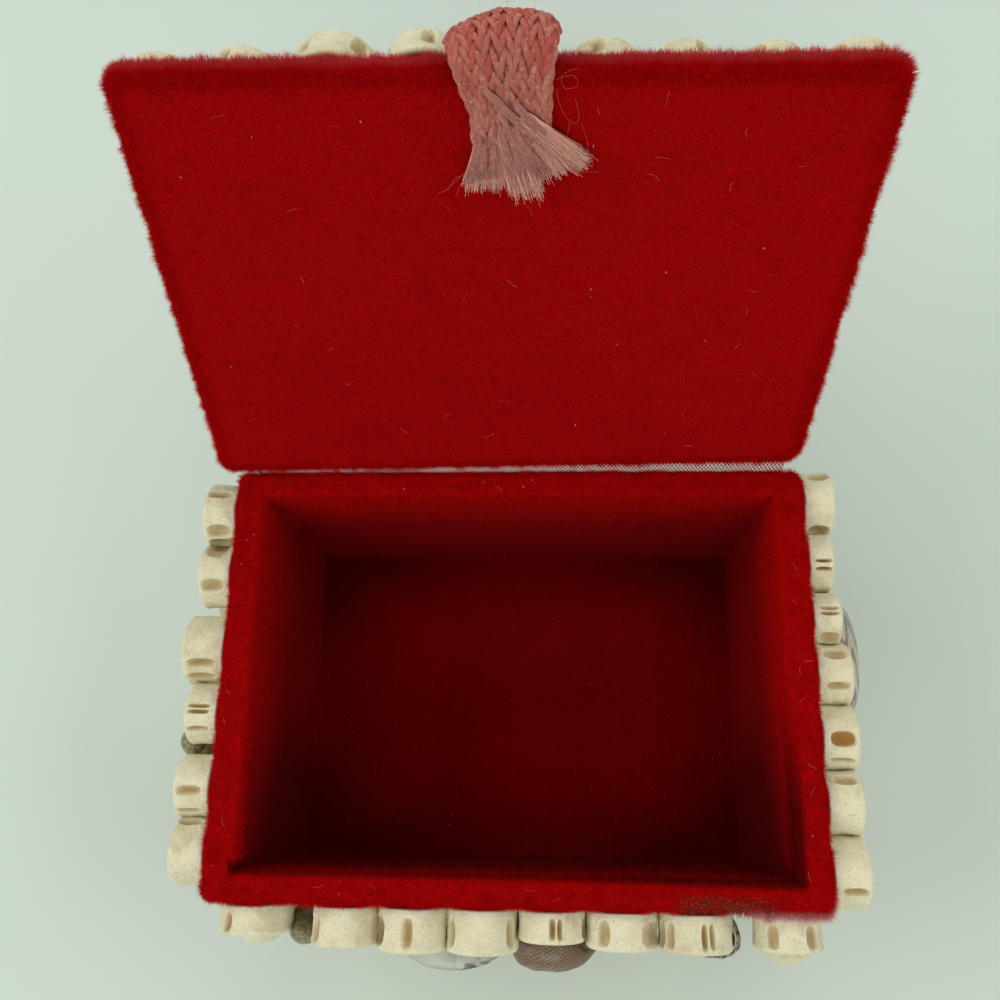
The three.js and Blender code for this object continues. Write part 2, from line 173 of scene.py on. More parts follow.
def mesh_from(name, points, quads, triangles=(), **attributes):
    """A smooth mesh from millimetre points, with float attributes on them."""
    quads = np.asarray(quads, np.int32).reshape(-1, 4)
    triangles = np.asarray(triangles, np.int32).reshape(-1, 3)
    mesh = bpy.data.meshes.new(name)
    mesh.vertices.add(len(points))
    mesh.vertices.foreach_set("co", (np.asarray(points) * MM).astype(np.float32).ravel())
    loops = np.concatenate([quads.ravel(), triangles.ravel()])
    mesh.loops.add(len(loops))
    mesh.loops.foreach_set("vertex_index", loops)
    mesh.polygons.add(len(quads) + len(triangles))
    starts = np.concatenate([
        np.arange(len(quads)) * 4, len(quads) * 4 + np.arange(len(triangles)) * 3
    ])
    mesh.polygons.foreach_set("loop_start", starts.astype(np.int32))
    mesh.polygons.foreach_set("use_smooth", np.ones(len(starts), bool))
    for key, value in attributes.items():
        layer = mesh.attributes.new(key, "FLOAT", "POINT")
        layer.data.foreach_set("value", np.asarray(value, np.float32).ravel())
    mesh.update(calc_edges=True)
    return mesh


def formed(name, form, *steps):
    """A mesh from a form (points, quads, triangles, attributes), moved into place."""
    points, quads, triangles, attributes = form
    return mesh_from(name, moved(points, *steps), quads, triangles, **attributes)


def fan(tip, first, count, turned_over=False):
    """Triangles from one point to a closed ring of count points."""
    j = np.arange(count)
    ends = (first + j, first + (j + 1) % count)
    return np.column_stack([np.full(count, tip), *(ends[::-1] if turned_over else ends)])


def eased_line(knots, count, rounds):
    """A line of count points through flat knots, its corners rounded off:
    the place along it in knots, and the two coordinates."""
    knots = np.array(knots)
    t = np.linspace(0, len(knots) - 1, count)
    x, y = (np.interp(t, np.arange(len(knots)), knots[:, i]) for i in (0, 1))
    for _ in range(rounds):
        for line in (x, y):
            line[1:-1] = (line[:-2] + 2 * line[1:-1] + line[2:]) / 4
    return t, x, y


def piece(name, mesh, finish):
    """Puts a mesh in the scene with its finish."""
    mesh.name = name
    mesh.materials.clear()
    mesh.materials.append(finish)
    made = bpy.data.objects.new(name, mesh)
    bpy.context.scene.collection.objects.link(made)
    return made


def outward(made, weld=0.0):
    """Merges a closed mesh's doubles, if asked, and turns its faces outwards."""
    edit = bmesh.new()
    edit.from_mesh(made.data)
    if weld:
        bmesh.ops.remove_doubles(edit, verts=edit.verts, dist=weld * MM)
    bmesh.ops.recalc_face_normals(edit, faces=edit.faces)
    edit.to_mesh(made.data)
    edit.free()


def dress(made, node, bed):
    """Joins a finished piece to its body, in place of a frame node."""
    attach(made, "lid" if bed == "lid" else "box")
    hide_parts(node)


# ---------------------------------------------------------------- node helpers
class Wires:
    """Adds nodes to a tree and joins them, or sets plain values."""

    tree = None

    def feed(self, socket, value):
        if isinstance(value, bpy.types.NodeSocket):
            self.tree.links.new(value, socket)
        elif value is not None:
            socket.default_value = value

    def add(self, kind, *inputs, out=0, **settings):
        """A node with its settings, its inputs in order, and its output out."""
        node = self.tree.nodes.new(kind)
        named = settings.pop("named", {})
        for key, value in settings.items():
            setattr(node, key, value)
        for i, value in enumerate(inputs):
            self.feed(node.inputs[i], value)
        for key, value in named.items():
            self.feed(node.inputs[key], value)
        return node.outputs[out]

    def maths(self, operation, *values):
        return self.add("ShaderNodeMath", *values, operation=operation)

    def times(self, first, second):
        return self.maths("MULTIPLY", first, second)


class Finish(Wires):
    """A procedural material on one Principled shader."""

    def __init__(self, name, **constants):
        self.material = bpy.data.materials.new(name)
        self.material.use_nodes = True
        self.tree = self.material.node_tree
        self.shader = self.tree.nodes["Principled BSDF"]
        self.place = self.add("ShaderNodeTexCoord", out=3)
        for key, value in constants.items():
            self.shader.inputs[key.replace("_", " ")].default_value = value

    def noise(self, scale, detail=2.0, rough=0.5, warp=0.0, place=None):
        return self.add("ShaderNodeTexNoise", named={
            "Vector": place or self.place, "Scale": scale, "Detail": detail,
            "Roughness": rough, "Distortion": warp})

    def cells(self, scale):
        return self.add("ShaderNodeTexVoronoi", named={"Vector": self.place, "Scale": scale})

    def attribute(self, name):
        return self.add("ShaderNodeAttribute", attribute_name=name, out=2)

    def ramp(self, value, low, high, start=0.0, end=1.0):
        """Maps low..high to start..end, clamped and eased."""
        return self.add("ShaderNodeMapRange", value, low, high, start, end,
                        interpolation_type="SMOOTHSTEP")

    def wave(self, value, rate, blur=None, by=1.0):
        """The sine of a value times a rate, its phase shifted by a blur."""
        if blur is None:
            return self.maths("SINE", self.times(value, rate))
        return self.maths("SINE", self.maths("MULTIPLY_ADD", value, rate, self.times(blur, by)))

    def mix(self, share, first, second):
        """Blends two colours, each of a kind that tint takes."""
        node = self.tree.nodes.new("ShaderNodeMix")
        node.data_type = "RGBA"
        for i, value in ((0, share), (6, tint(first)), (7, tint(second))):
            self.feed(node.inputs[i], value)
        return node.outputs[2]

    def stretched(self, x, y, z):
        """The object's coordinates scaled along each axis."""
        return self.add("ShaderNodeMapping", self.place, None, None, (x, y, z))

    def bump(self, height, strength, depth, below=None):
        """A bump of depth metres from a height value, over another if given."""
        return self.add("ShaderNodeBump", named={
            "Strength": strength, "Distance": depth, "Height": height, "Normal": below})

    def done(self, colour, rough=None, normal=None):
        """Joins colour, roughness and normal, and gives the material."""
        for name, value in (("Base Color", tint(colour)), ("Roughness", rough), ("Normal", normal)):
            self.feed(self.shader.inputs[name], value)
        return self.material


class Growth(Wires):
    """A Geometry Nodes tree with named inputs, the last two its seed and finish."""

    def __init__(self, name, **inputs):
        self.tree = bpy.data.node_groups.new(name, "GeometryNodeTree")
        face = self.tree.interface
        face.new_socket(name="Geometry", in_out="INPUT", socket_type="NodeSocketGeometry")
        face.new_socket(name="Geometry", in_out="OUTPUT", socket_type="NodeSocketGeometry")
        inputs.update(Seed=("Int", 1), Finish=("Material", None))
        for key, (kind, default) in inputs.items():
            socket = face.new_socket(name=key.replace("_", " "), in_out="INPUT",
                                     socket_type="NodeSocket" + kind)
            if default is not None:
                socket.default_value = default
        self.start = self.tree.nodes.new("NodeGroupInput")

    def given(self, name):
        return self.start.outputs[name.replace("_", " ")]

    def random(self, low, high, seed, kind="FLOAT"):
        """A random value for each element."""
        node = self.tree.nodes.new("FunctionNodeRandomValue")
        node.data_type = kind
        first, out = {"FLOAT_VECTOR": (0, 0), "FLOAT": (2, 1), "INT": (4, 2)}[kind]
        self.feed(node.inputs[first], low)
        self.feed(node.inputs[first + 1], high)
        self.feed(node.inputs["Seed"], seed)
        return node.outputs[out]

    def any_way(self):
        """A random vector for each element, up to 1 either way on each axis."""
        return self.random((-1, -1, -1), (1, 1, 1), 3, "FLOAT_VECTOR")

    def attribute(self, name, kind="FLOAT"):
        return self.add("GeometryNodeInputNamedAttribute", data_type=kind, named={"Name": name})

    def vector(self, operation, *values, **settings):
        return self.add("ShaderNodeVectorMath", *values, operation=operation, **settings)

    def scaled(self, way, factor):
        return self.vector("SCALE", way, named={"Scale": factor})

    def scattered(self, method="RANDOM", **amounts):
        """Points spread over the base geometry by the tree's seed."""
        node = self.tree.nodes.new("GeometryNodeDistributePointsOnFaces")
        node.distribute_method = method
        amounts.update(Mesh=self.given("Geometry"), Seed=self.given("Seed"))
        for name, value in amounts.items():
            self.feed(node.inputs[name.replace("_", " ")], value)
        return node

    def planted(self, points, shape, way, long, thin, thick):
        """A shape on each point, stood along a way and spun at random, from thin
        to thick times the tree's width."""
        upright = self.add("FunctionNodeAlignRotationToVector", None, 1.0, way, axis="Z")
        spin = self.add("FunctionNodeEulerToRotation", self.add(
            "ShaderNodeCombineXYZ", 0.0, 0.0, self.random(0.0, 2 * math.pi, 5)))
        spun = self.add("FunctionNodeRotateRotation", upright, spin, rotation_space="LOCAL")
        wide = self.times(self.given("Width"), self.random(thin, thick, 9))
        size = self.add("ShaderNodeCombineXYZ", wide, wide, long)
        return self.add("GeometryNodeInstanceOnPoints", points.outputs["Points"], None, shape, None,
                        None, spun, size)

    def end(self, instances):
        """Gives each instance a random tone, realizes them and sets the finish."""
        toned = self.add("GeometryNodeStoreNamedAttribute", instances, None, "tone",
                         self.random(0.0, 1.0, 11), data_type="FLOAT", domain="INSTANCE")
        real = self.add("GeometryNodeRealizeInstances", toned)
        out = self.tree.nodes.new("NodeGroupOutput")
        self.feed(out.inputs[0], self.add("GeometryNodeSetMaterial", real, None, self.given("Finish")))
        return self.tree


def grown(name, base, tree, finish, **inputs):
    """A plain mesh piece from what a tree grows on a base object."""
    modifier = base.modifiers.new("Growth", "NODES")
    modifier.node_group = tree
    sockets = {s.name: s.identifier for s in tree.interface.items_tree
               if s.item_type == "SOCKET" and s.in_out == "INPUT"}
    inputs.update(Finish=finish)
    for key, value in inputs.items():
        modifier[sockets[key.replace("_", " ")]] = value
    bpy.context.view_layer.update()
    seen = base.evaluated_get(bpy.context.evaluated_depsgraph_get())
    mesh = bpy.data.meshes.new_from_object(seen)
    base.modifiers.remove(modifier)
    if not len(mesh.polygons):
        raise RuntimeError(f"nothing grew for {name}")
    return piece(name, mesh, finish)


# -------------------------------------------------------- sizes and colours
def paint(text):
    """A linear colour from six hex digits of sRGB."""
    values = [int(text[i:i + 2], 16) / 255 for i in (0, 2, 4)]
    return tuple(v / 12.92 if v <= 0.04045 else ((v + 0.055) / 1.055) ** 2.4 for v in values)


def tint(colour):
    """A shader's colour from six hex digits or a setting; a socket stays as it is."""
    if isinstance(colour, bpy.types.NodeSocket):
        return colour
    return (*(paint(colour) if isinstance(colour, str) else colour), 1.0)


def colour_setting(name, description, text):
    return bpy.props.FloatVectorProperty(
        name=name, description=description, default=paint(text), size=3,
        subtype="COLOR", min=0, max=1)


def length_setting(name, description, millimetres):
    return bpy.props.FloatProperty(
        name=name, description=description, default=millimetres * MM,
        unit="LENGTH", precision=5, min=0)


def number_setting(name, description, default, **limits):
    return bpy.props.FloatProperty(
        name=name, description=description, default=default, **{"min": 0, **limits})


class ShellBoxVelvet(bpy.types.PropertyGroup):
    """The lining's sizes and colours."""

    pile: length_setting("Pile length", "How far the fibres stand out", 1.0)
    fibre: length_setting("Fibre width", "Width of one tuft of fibres", 0.085)
    edge_density: number_setting("Edge density", "Tufts per square millimetre on the edges", 30)
    field_density: number_setting("Field density", "Tufts per square millimetre on the lid's field", 14)
    deep: colour_setting("Deep red", "The deeper red the fibres vary from", "bc0102")
    bright: colour_setting("Bright red", "The brighter red they vary to", "d60406")
    # partly wear, partly painted light on the lid's front edge
    faded_and_lit: colour_setting("Faded red", "Colour where the pile is rubbed", "d4545a")


class ShellBoxBone(bpy.types.PropertyGroup):
    """The vertebrae."""

    neck: number_setting("Neck", "Waist of a vertebra against its rims", 0.975,
                         min=0.5, max=1, subtype="FACTOR")
    pit_depth: number_setting("Pit depth", "Depth of a side pit against the radius", 0.3,
                              max=0.6, subtype="FACTOR")
    cream: colour_setting("Cream", "Clean bone", "efe8c6")
    tan: colour_setting("Tan", "Stained bone", "d3c49a")
    pit: colour_setting("Pit", "Inside the pits", "dfcba0")


class ShellBoxTrim(bpy.types.PropertyGroup):
    """Card, hinge tape and pull tab."""

    card: colour_setting("Card", "Paper over the card", "b9c1b4")
    glue: colour_setting("Glue", "Old glue on the paper", "c9c3a2")
    gauze: colour_setting("Hinge tape", "Woven hinge tape", "fdeee6")
    braid: colour_setting("Braid", "Silk of the pull tab", "cb7c6b")
    # painted shade for the gaps between the silk's filaments
    braid_painted_shade: colour_setting("Braid shade", "Deep parts of the pull tab", "6e2424")


class ShellBoxShells(bpy.types.PropertyGroup):
    """The sea shells."""

    cream: colour_setting("Cream", "Cockles and scallops", "e4d9bd")
    grey: colour_setting("Grey", "Olive shell on the lid", "bcc1b0")
    brown: colour_setting("Brown", "Whelks", "6b4f3c")
    banded: colour_setting("Banded", "Turban and tulip shell", "c9bda9")
    filler_size: length_setting("Small shell size", "Mean length of a filling shell", 6.2)


# -------------------------------------------------------------------- velvet
CORNER = 8  # points round each corner of a velvet loop


def rounded_loop(hx, hy, radius):
    """Points round a rectangle with rounded corners, counterclockwise."""
    radius = min(radius, hx, hy)
    centres = np.array([(1, -1), (1, 1), (-1, 1), (-1, -1)]) * (hx - radius, hy - radius)
    facing = np.array([(0, -1), (1, 0), (0, 1), (-1, 0)]) * radius
    loop = []
    for side, count in enumerate((100, 72, 100, 72)):
        start, centre = centres[side - 1], centres[side]
        loop += [start + (centre - start) * (i / count) + facing[side] for i in range(count)]
        for i in range(CORNER):
            a = math.radians(90 * (side - 1) + 90 * i / CORNER)
            loop.append(centre + (radius * math.cos(a), radius * math.sin(a)))
    return np.array(loop)


def quarter_turn(steps):
    """Sine and cosine at even steps from 0 to 90 degrees."""
    angles = [math.radians(90 * i / steps) for i in range(steps + 1)]
    return [(math.sin(a), math.cos(a)) for a in angles]


class Cloth:
    """Velvet drawn up from rings of points, each with its pile's density and length."""

    def __init__(self):
        self.rings, self.pile, self.stand = [], [], []

    def ring(self, flat, z, tufts, length=1.0):
        self.rings.append(np.column_stack([flat, np.full(len(flat), z)]))
        self.pile.append(tufts)
        self.stand.append(length)

    def laid(self):
        """All points, and the number of the ring that each is in."""
        return np.concatenate(self.rings), np.repeat(np.arange(len(self.rings)), len(self.rings[0]))

    def mesh(self, name, points, **attributes):
        count = len(self.rings[0])
        return mesh_from(name, points, strips(len(self.rings), count, True),
                         pile=np.repeat(self.pile, count), stand=np.repeat(self.stand, count), **attributes)


RIM_W, RIM_D = 6.35, 5.5  # width of the velvet rim at the sides, and front and back
PILE = 1.2  # thickness of the velvet with its pile
SKIRT = 4.0  # how far it is folded down outside the rim
FLOOR_Z = 3.2  # top of the velvet floor


def lining_mesh():
    """The velvet tub: folded down outside the rim, over it, and down inside."""
    cloth = Cloth()

    def ring(inset_x, inset_y, radius, z, tufts, length=1.0):
        half = max(HALF_W - inset_x, 0.01), max(HALF_D - inset_y, 0.0)
        cloth.ring(rounded_loop(*half, radius), z, tufts, length)

    # behind the velvet, from under the floor up to the skirt's lower edge
    back_x, back_y, under = RIM_W - PILE, RIM_D - PILE, FLOOR_Z - 0.9
    ring(RIM_W + 40, HALF_D, 0, under, 0)
    for z in (under, 20, 45, BOX_H - PILE):
        ring(back_x, back_y, 1.5, z, 0)
    for z in (BOX_H - PILE, BOX_H - SKIRT + 0.3):
        ring(PILE, PILE, 2, z, 0)
    # outside and over the rim
    ring(0.6, 0.6, 1.4, BOX_H - SKIRT, 0.5, 0.7)
    ring(0.1, 0.1, 1.8, BOX_H - SKIRT + 0.4, 0.6, 0.7)
    first_seen = len(cloth.rings)
    for z in (1.2, 2.0):
        ring(0, 0, 1.8, BOX_H - SKIRT + z, 0.8, 0.8)
    round_out, round_in = 1.5, 1.3
    for i, (sin, cos) in enumerate(quarter_turn(6)):
        inset = round_out * (1 - cos)
        ring(inset, inset, 1.8, BOX_H - round_out * (1 - sin), 1.3 - 0.3 * i / 6, 1.1 - 0.5 * i / 6)
    for t in (0.2, 0.4, 0.6, 0.8):
        inset_x = round_out + (RIM_W - round_out - round_in) * t
        inset_y = round_out + (RIM_D - round_out - round_in) * t
        ring(inset_x, inset_y, 1.8 - 1.3 * t, BOX_H - 0.12 * math.sin(math.pi * t), 0.9, 0.55)
    for i, (sin, cos) in enumerate(quarter_turn(6)):
        short = round_in * (1 - sin)
        ring(RIM_W - short, RIM_D - short, 0.5, BOX_H - round_in * (1 - cos), 0.9 - 0.4 * i / 6, 0.6)
    # down the inside, round the foot and over the floor
    first_inside = len(cloth.rings) + 2
    foot = 1.2
    for i, z in enumerate(np.linspace(BOX_H - 2.4, FLOOR_Z + foot, 46)):
        ring(RIM_W, RIM_D, 0.5, z, max(0.07, 0.4 - 0.06 * i), 0.9)
    for sin, cos in quarter_turn(4)[1:]:
        ring(RIM_W + foot * (1 - cos), RIM_D + foot * (1 - cos), 0.5, FLOOR_Z + foot * (1 - sin), 0.06, 0.9)
    inner = HALF_D - RIM_D - foot
    for t in np.linspace(0, 1, 27)[1:]:
        ring(RIM_W + foot + inner * t, RIM_D + foot + inner * t, 0.5 * (1 - t), FLOOR_Z, 0.05, 0.9)

    points, level = cloth.laid()
    seen, inside = level >= first_seen, level >= first_inside
    rim_x, rim_y = HALF_W - RIM_W, HALF_D - RIM_D
    # the nap swells and sinks a little, and the walls are not quite flat
    heave = 0.16 * wander(points, 7, 11, 2) + 0.22 * wander(points, 38, 12)
    side = np.abs(points[:, 0]) / rim_x > np.abs(points[:, 1]) / rim_y
    on_floor = points[:, 2] < FLOOR_Z + 0.4
    push = np.zeros_like(points)
    for axis, wall in ((0, inside & side & ~on_floor), (1, inside & ~side & ~on_floor)):
        push[wall, axis] = -np.sign(points[wall, axis])
    push[inside & on_floor, 2] = 1
    push[seen & (points[:, 2] > BOX_H - 1) & ~inside, 2] = 1
    points = points + push * np.minimum(heave, 0.25)[:, None]
    x, y, z = points.T
    front = y < -38
    # painted shade: the velvet is coloured darker down the walls, on the side walls towards the front, and
    # out towards the floor's corners
    reach = np.maximum(np.abs(x) / rim_x, np.abs(y) / rim_y)
    corner = np.abs(x * y) / (HALF_W * HALF_D)
    on_walls = 0.55 * smooth(BOX_H - 1.0, BOX_H - 34, z) + 0.5 * smooth(BOX_H - 1, BOX_H - 5, z) * front
    shade = np.where(on_floor, 0.2 + 0.35 * smooth(0.4, 1, reach) + 0.3 * smooth(0.1, 0.6, corner), on_walls)
    shade += 0.5 * smooth(4, -36, y) * smooth(BOX_H - 1, BOX_H - 6, z) * side * ~on_floor
    # and painted shade where it rolls over the front rim, most of all by the right corner
    rolled = smooth(-41.2, -39.6, y + 0.9 * smooth(0, 60, x)) * front * (np.abs(x) < rim_x + 1)
    by_right = smooth(rim_x + 2.1, rim_x + 0.6, x) * (x > rim_x - 0.5) * (y > -40.5) * smooth(0, -30, y)
    rolled = np.maximum(rolled, by_right) * smooth(BOX_H - 12, BOX_H - 5, z)
    shade = np.clip(np.maximum(shade * inside, 0.85 * rolled * seen), 0, 0.85)
    # the front edge: matted brown on top, then a ragged pale cut edge that hangs out
    fore = -y - HALF_D
    matted = smooth(31, 36, x) * smooth(55, 48, x) * smooth(-3.6, -1.4, fore)
    matted *= (z > BOX_H - 3) * np.clip(0.75 + 0.35 * wander(points, 2.2, 14, 2), 0, 1)
    cut = smooth(44, 51, x) * smooth(65, 62.5, x) * seen
    cut *= smooth(BOX_H - 0.3, BOX_H - 1.5, z) * smooth(-2.4, -1.2, fore)
    points[:, 1] -= (1.15 + 0.4 * wander(points, 4, 15)) * cut
    return cloth.mesh("lining", points, matted=matted, cut=cut, shade=shade)


def lid_outline(inset, radius):
    """The lid's edge as (across, from the hinge), drawn in, corners rounded."""
    corners = np.array(LID_CORNERS) + np.array([(1, 1), (-1, 1), (-1, -1), (1, -1)]) * inset
    loop = []
    for side, count in enumerate((104, 70, 104, 70)):
        p, q, r = (corners[(side + i) % 4] for i in range(3))
        along = (q - p) / np.linalg.norm(q - p)
        onward = (r - q) / np.linalg.norm(r - q)
        start, end = p + along * radius, q - along * radius
        loop += [start + (end - start) * i / count for i in range(count)]
        for t in (i / CORNER for i in range(CORNER)):
            loop.append((1 - t) ** 2 * end + 2 * t * (1 - t) * q + t * t * (q + onward * radius))
    return np.array(loop)


LID_MARGIN, LID_FRONT_MARGIN = 9.0, 17.0  # bands folded onto the lid's back
LID_LONG = 88.0  # from the hinge to the lid's front edge


def lid_velvet_mesh():
    """Velvet over the lid's inner face, round its edges and onto its back."""
    cloth = Cloth()

    def ring(flat, z, tufts, length=1.0):
        cloth.ring(flat * (1, -1), z, tufts, length)

    rim, under, turn = lid_outline(0, 2.2), lid_outline(PILE, 2), 1.7
    spine = np.column_stack([np.clip(rim[:, 0] * 0.36, -23, 23), np.full(len(rim), LID_LONG / 2)])
    # behind: from the board's middle out to the edge
    ring(spine, PILE, 0)
    ring(under * 0.5 + spine * 0.5, PILE, 0)
    ring(under, PILE, 0)
    ring(under, LID_T - PILE, 0)
    margin = lid_outline(LID_MARGIN, 2)
    margin[:, 1] = np.minimum(margin[:, 1], LID_LONG - LID_FRONT_MARGIN)
    ring(margin, LID_T - PILE, 0)
    ring(margin, LID_T - 0.3, 0.2, 0.5)
    for t in (0.25, 0.5, 0.75):
        ring(margin * (1 - t) + lid_outline(1.6, 3) * t, LID_T, 0.25, 0.6)
    first_edge = len(cloth.rings)
    for sin, cos in quarter_turn(6):
        ring(lid_outline(turn * (1 - sin), 3), LID_T - turn * (1 - cos), 0.9)
    for z in (3.4, 2.6):
        ring(rim, z, 1.0, 1.3)
    for sin, cos in quarter_turn(7):
        ring(lid_outline(turn * (1 - cos), 3), turn * (1 - sin), 1.3, 1.1)
    first_field = len(cloth.rings)
    field = lid_outline(turn, 2.5)
    for t in np.linspace(0, 1, 36)[1:]:
        ring(field * (1 - t) + spine * t, 0, 0)

    points, level = cloth.laid()
    on_field = level >= first_field
    flat = points * (1, 1, 0)
    heave = 0.2 * wander(flat, 34, 21) + 0.07 * wander(flat, 6, 22)
    points[:, 2] -= np.where(on_field, np.minimum(heave, 0.25), 0)
    rough_edge = np.where((level >= first_edge) & ~on_field, 0.12 * wander(points, 13, 23, 2), 0)
    outward_way = (points + (0, LID_LONG / 2, 0))[:, :2]
    outward_way /= np.linalg.norm(outward_way, axis=1)[:, None] + 1e-6
    points[:, :2] += outward_way * rough_edge[:, None]
    # the front edge: painted light where it catches the light, and some wear where it has been handled
    far = smooth(1.0, 2.3, points[:, 2]) * (points[:, 1] < -80) * (level >= first_edge)
    return cloth.mesh("lid", moved(points, LID_BED), worn=0.62 * far, field=on_field)


def pile_tree():
    """Velvet pile: one tapering tuft on each point of a surface."""
    g = Growth("Velvet pile", Density=("Float", 1e7), Mask=("String", "pile"), Length=("Float", 0.001),
               Width=("Float", 8e-5), Lean=("Float", 0.45), Clump=("Float", 1.1))
    points = g.scattered(Density=g.times(g.attribute(g.given("Mask")), g.given("Density")))
    # a triangle one unit wide and tall, its foot a little below the surface
    tuft = g.add("GeometryNodeMeshCircle", 3, 1.0, fill_type="NGON")
    tuft = g.add("GeometryNodeTransform", tuft, named={
        "Rotation": (0, -math.pi / 2, 0), "Scale": (1 / 1.5, 1 / 1.73, 1), "Translation": (0, 0, 0.3)})
    # neighbours lean together, so the pile stands in small clumps
    eddy = g.add("ShaderNodeTexNoise", out=1, named={"Scale": 620.0, "Detail": 1.0})
    gather = g.scaled(g.vector("SUBTRACT", eddy, (0.5, 0.5, 0.5)), g.given("Clump"))
    lean = g.scaled(g.any_way(), g.given("Lean"))
    away = g.vector("ADD", g.vector("ADD", points.outputs["Normal"], lean), gather)
    tall = g.add("ShaderNodeTexNoise", named={"Scale": 480.0, "Detail": 1.0})
    long = g.times(g.times(g.given("Length"), g.attribute("stand")), g.random(0.55, 1.35, 7))
    long = g.times(long, g.add("ShaderNodeMapRange", tall, 0.4, 0.66, 0.75, 1.5))
    return g.end(g.planted(points, tuft, away, long, 0.7, 1.4))


def velvet_finish(look, name, tufts):
    """Crimson velvet: the ground cloth, or the tufts that stand on it."""
    m = Finish(name, Sheen_Weight=0.1, Sheen_Roughness=0.5,
               Sheen_Tint=(0.9, 0.06, 0.08, 1), Specular_IOR_Level=0.04)
    clouds = m.ramp(m.noise(38, 3, 0.6), 0.35, 0.68)
    grain = m.ramp(m.noise(1900, 2, 0.7), 0.38, 0.66)
    tone = m.attribute("tone") if tufts else grain
    share = m.maths("MULTIPLY_ADD", clouds, 0.2, m.times(tone, 0.8))
    red = m.mix(share, look.deep, look.bright)
    # the first two masks paint light and shade: painted light with some wear on the lid's front edge, painted
    # shade on the lining; matted and cut are the cloth's own colour
    for mask, colour in (("worn", look.faded_and_lit), ("shade", "4c0001"),
                         ("matted", m.mix(tone, "7c1008", "b4523c")),
                         ("cut", m.mix(tone, "dc9496", "f6e2de"))):
        red = m.mix(m.attribute(mask), red, colour)
    hollow = None
    if not tufts:
        brushed = m.noise(700, 3, 0.7, place=m.stretched(1, 0.35, 0.35))
        hollow = m.bump(m.maths("ADD", grain, brushed), 0.9, 0.0005)
    return m.done(red, m.ramp(grain, 0, 1, 0.85, 1.0), hollow)


# ----------------------------------------------------------------- vertebrae
# Side pits of each vertebra in degrees from its top, positive to the right, with
# a third number where one is stained amber.
PITS = {
    "front": [[(-39, -23)], [(-70, -38)], [(-90, -48), (-12, 8)], [(-66, -46), (48, 67)],
              [(-5, 7.5), (9.3, 20), (62, 88)], [(-47, -23), (31, 84)],
              [(-78, -62), (-58, -41), (2, 12.5), (14.3, 25)],
              [(-48, -26), (20, 46)]],
    "right": [[(-37, -22)], [(32, 54)], [(-21, 10, 1), (-54, -40)], [(25, 51), (-37, -19)],
              [(11.4, 22), (0, 9.6), (-71, -37)], [(-9, -1), (-25, -17)], [(35, 55), (-82, -55)]],
    "left": [[(-40, -21), (29, 55), (57, 77)], [(-92, -26), (16, 41)], [(21, 37), (47, 63)],
             [(-15, -5.9), (-4, 5), (28, 39)], [(-1, 19), (44, 59)], [(-65, -48)]],
    "lid": [[(-41, -19), (33, 55)], [(-63, -41), (9, 31)], [(-51, -29), (24, 46)], [(-21, 1), (51, 73)],
            [(-47, -25), (25, 47)], [(-71, -49), (1, 23)], [(-36, -14), (37, 59)], [(-55, -33), (19, 41)],
            [(-45, -23), (29, 51)]],
}
FAR_PITS = [(136, 158), (202, 224)]  # on the lower side of every vertebra


def crowded(low, high, count, spots, width, pull):
    """Numbers from low to high that stand closer together near the spots."""
    fine = np.linspace(low, high, 1441)
    crowd = 1 + sum(pull * np.exp(-((fine - spot) / width) ** 2) for spot in spots)
    mark = np.cumsum(crowd)
    return np.interp(np.linspace(mark[0], mark[-1], count), mark, fine)


FOOT = 0.6  # how far a vertebra's back rim stands off its bed, on a glued foot
RIM = 0.95  # radius of the rounded edge round its face


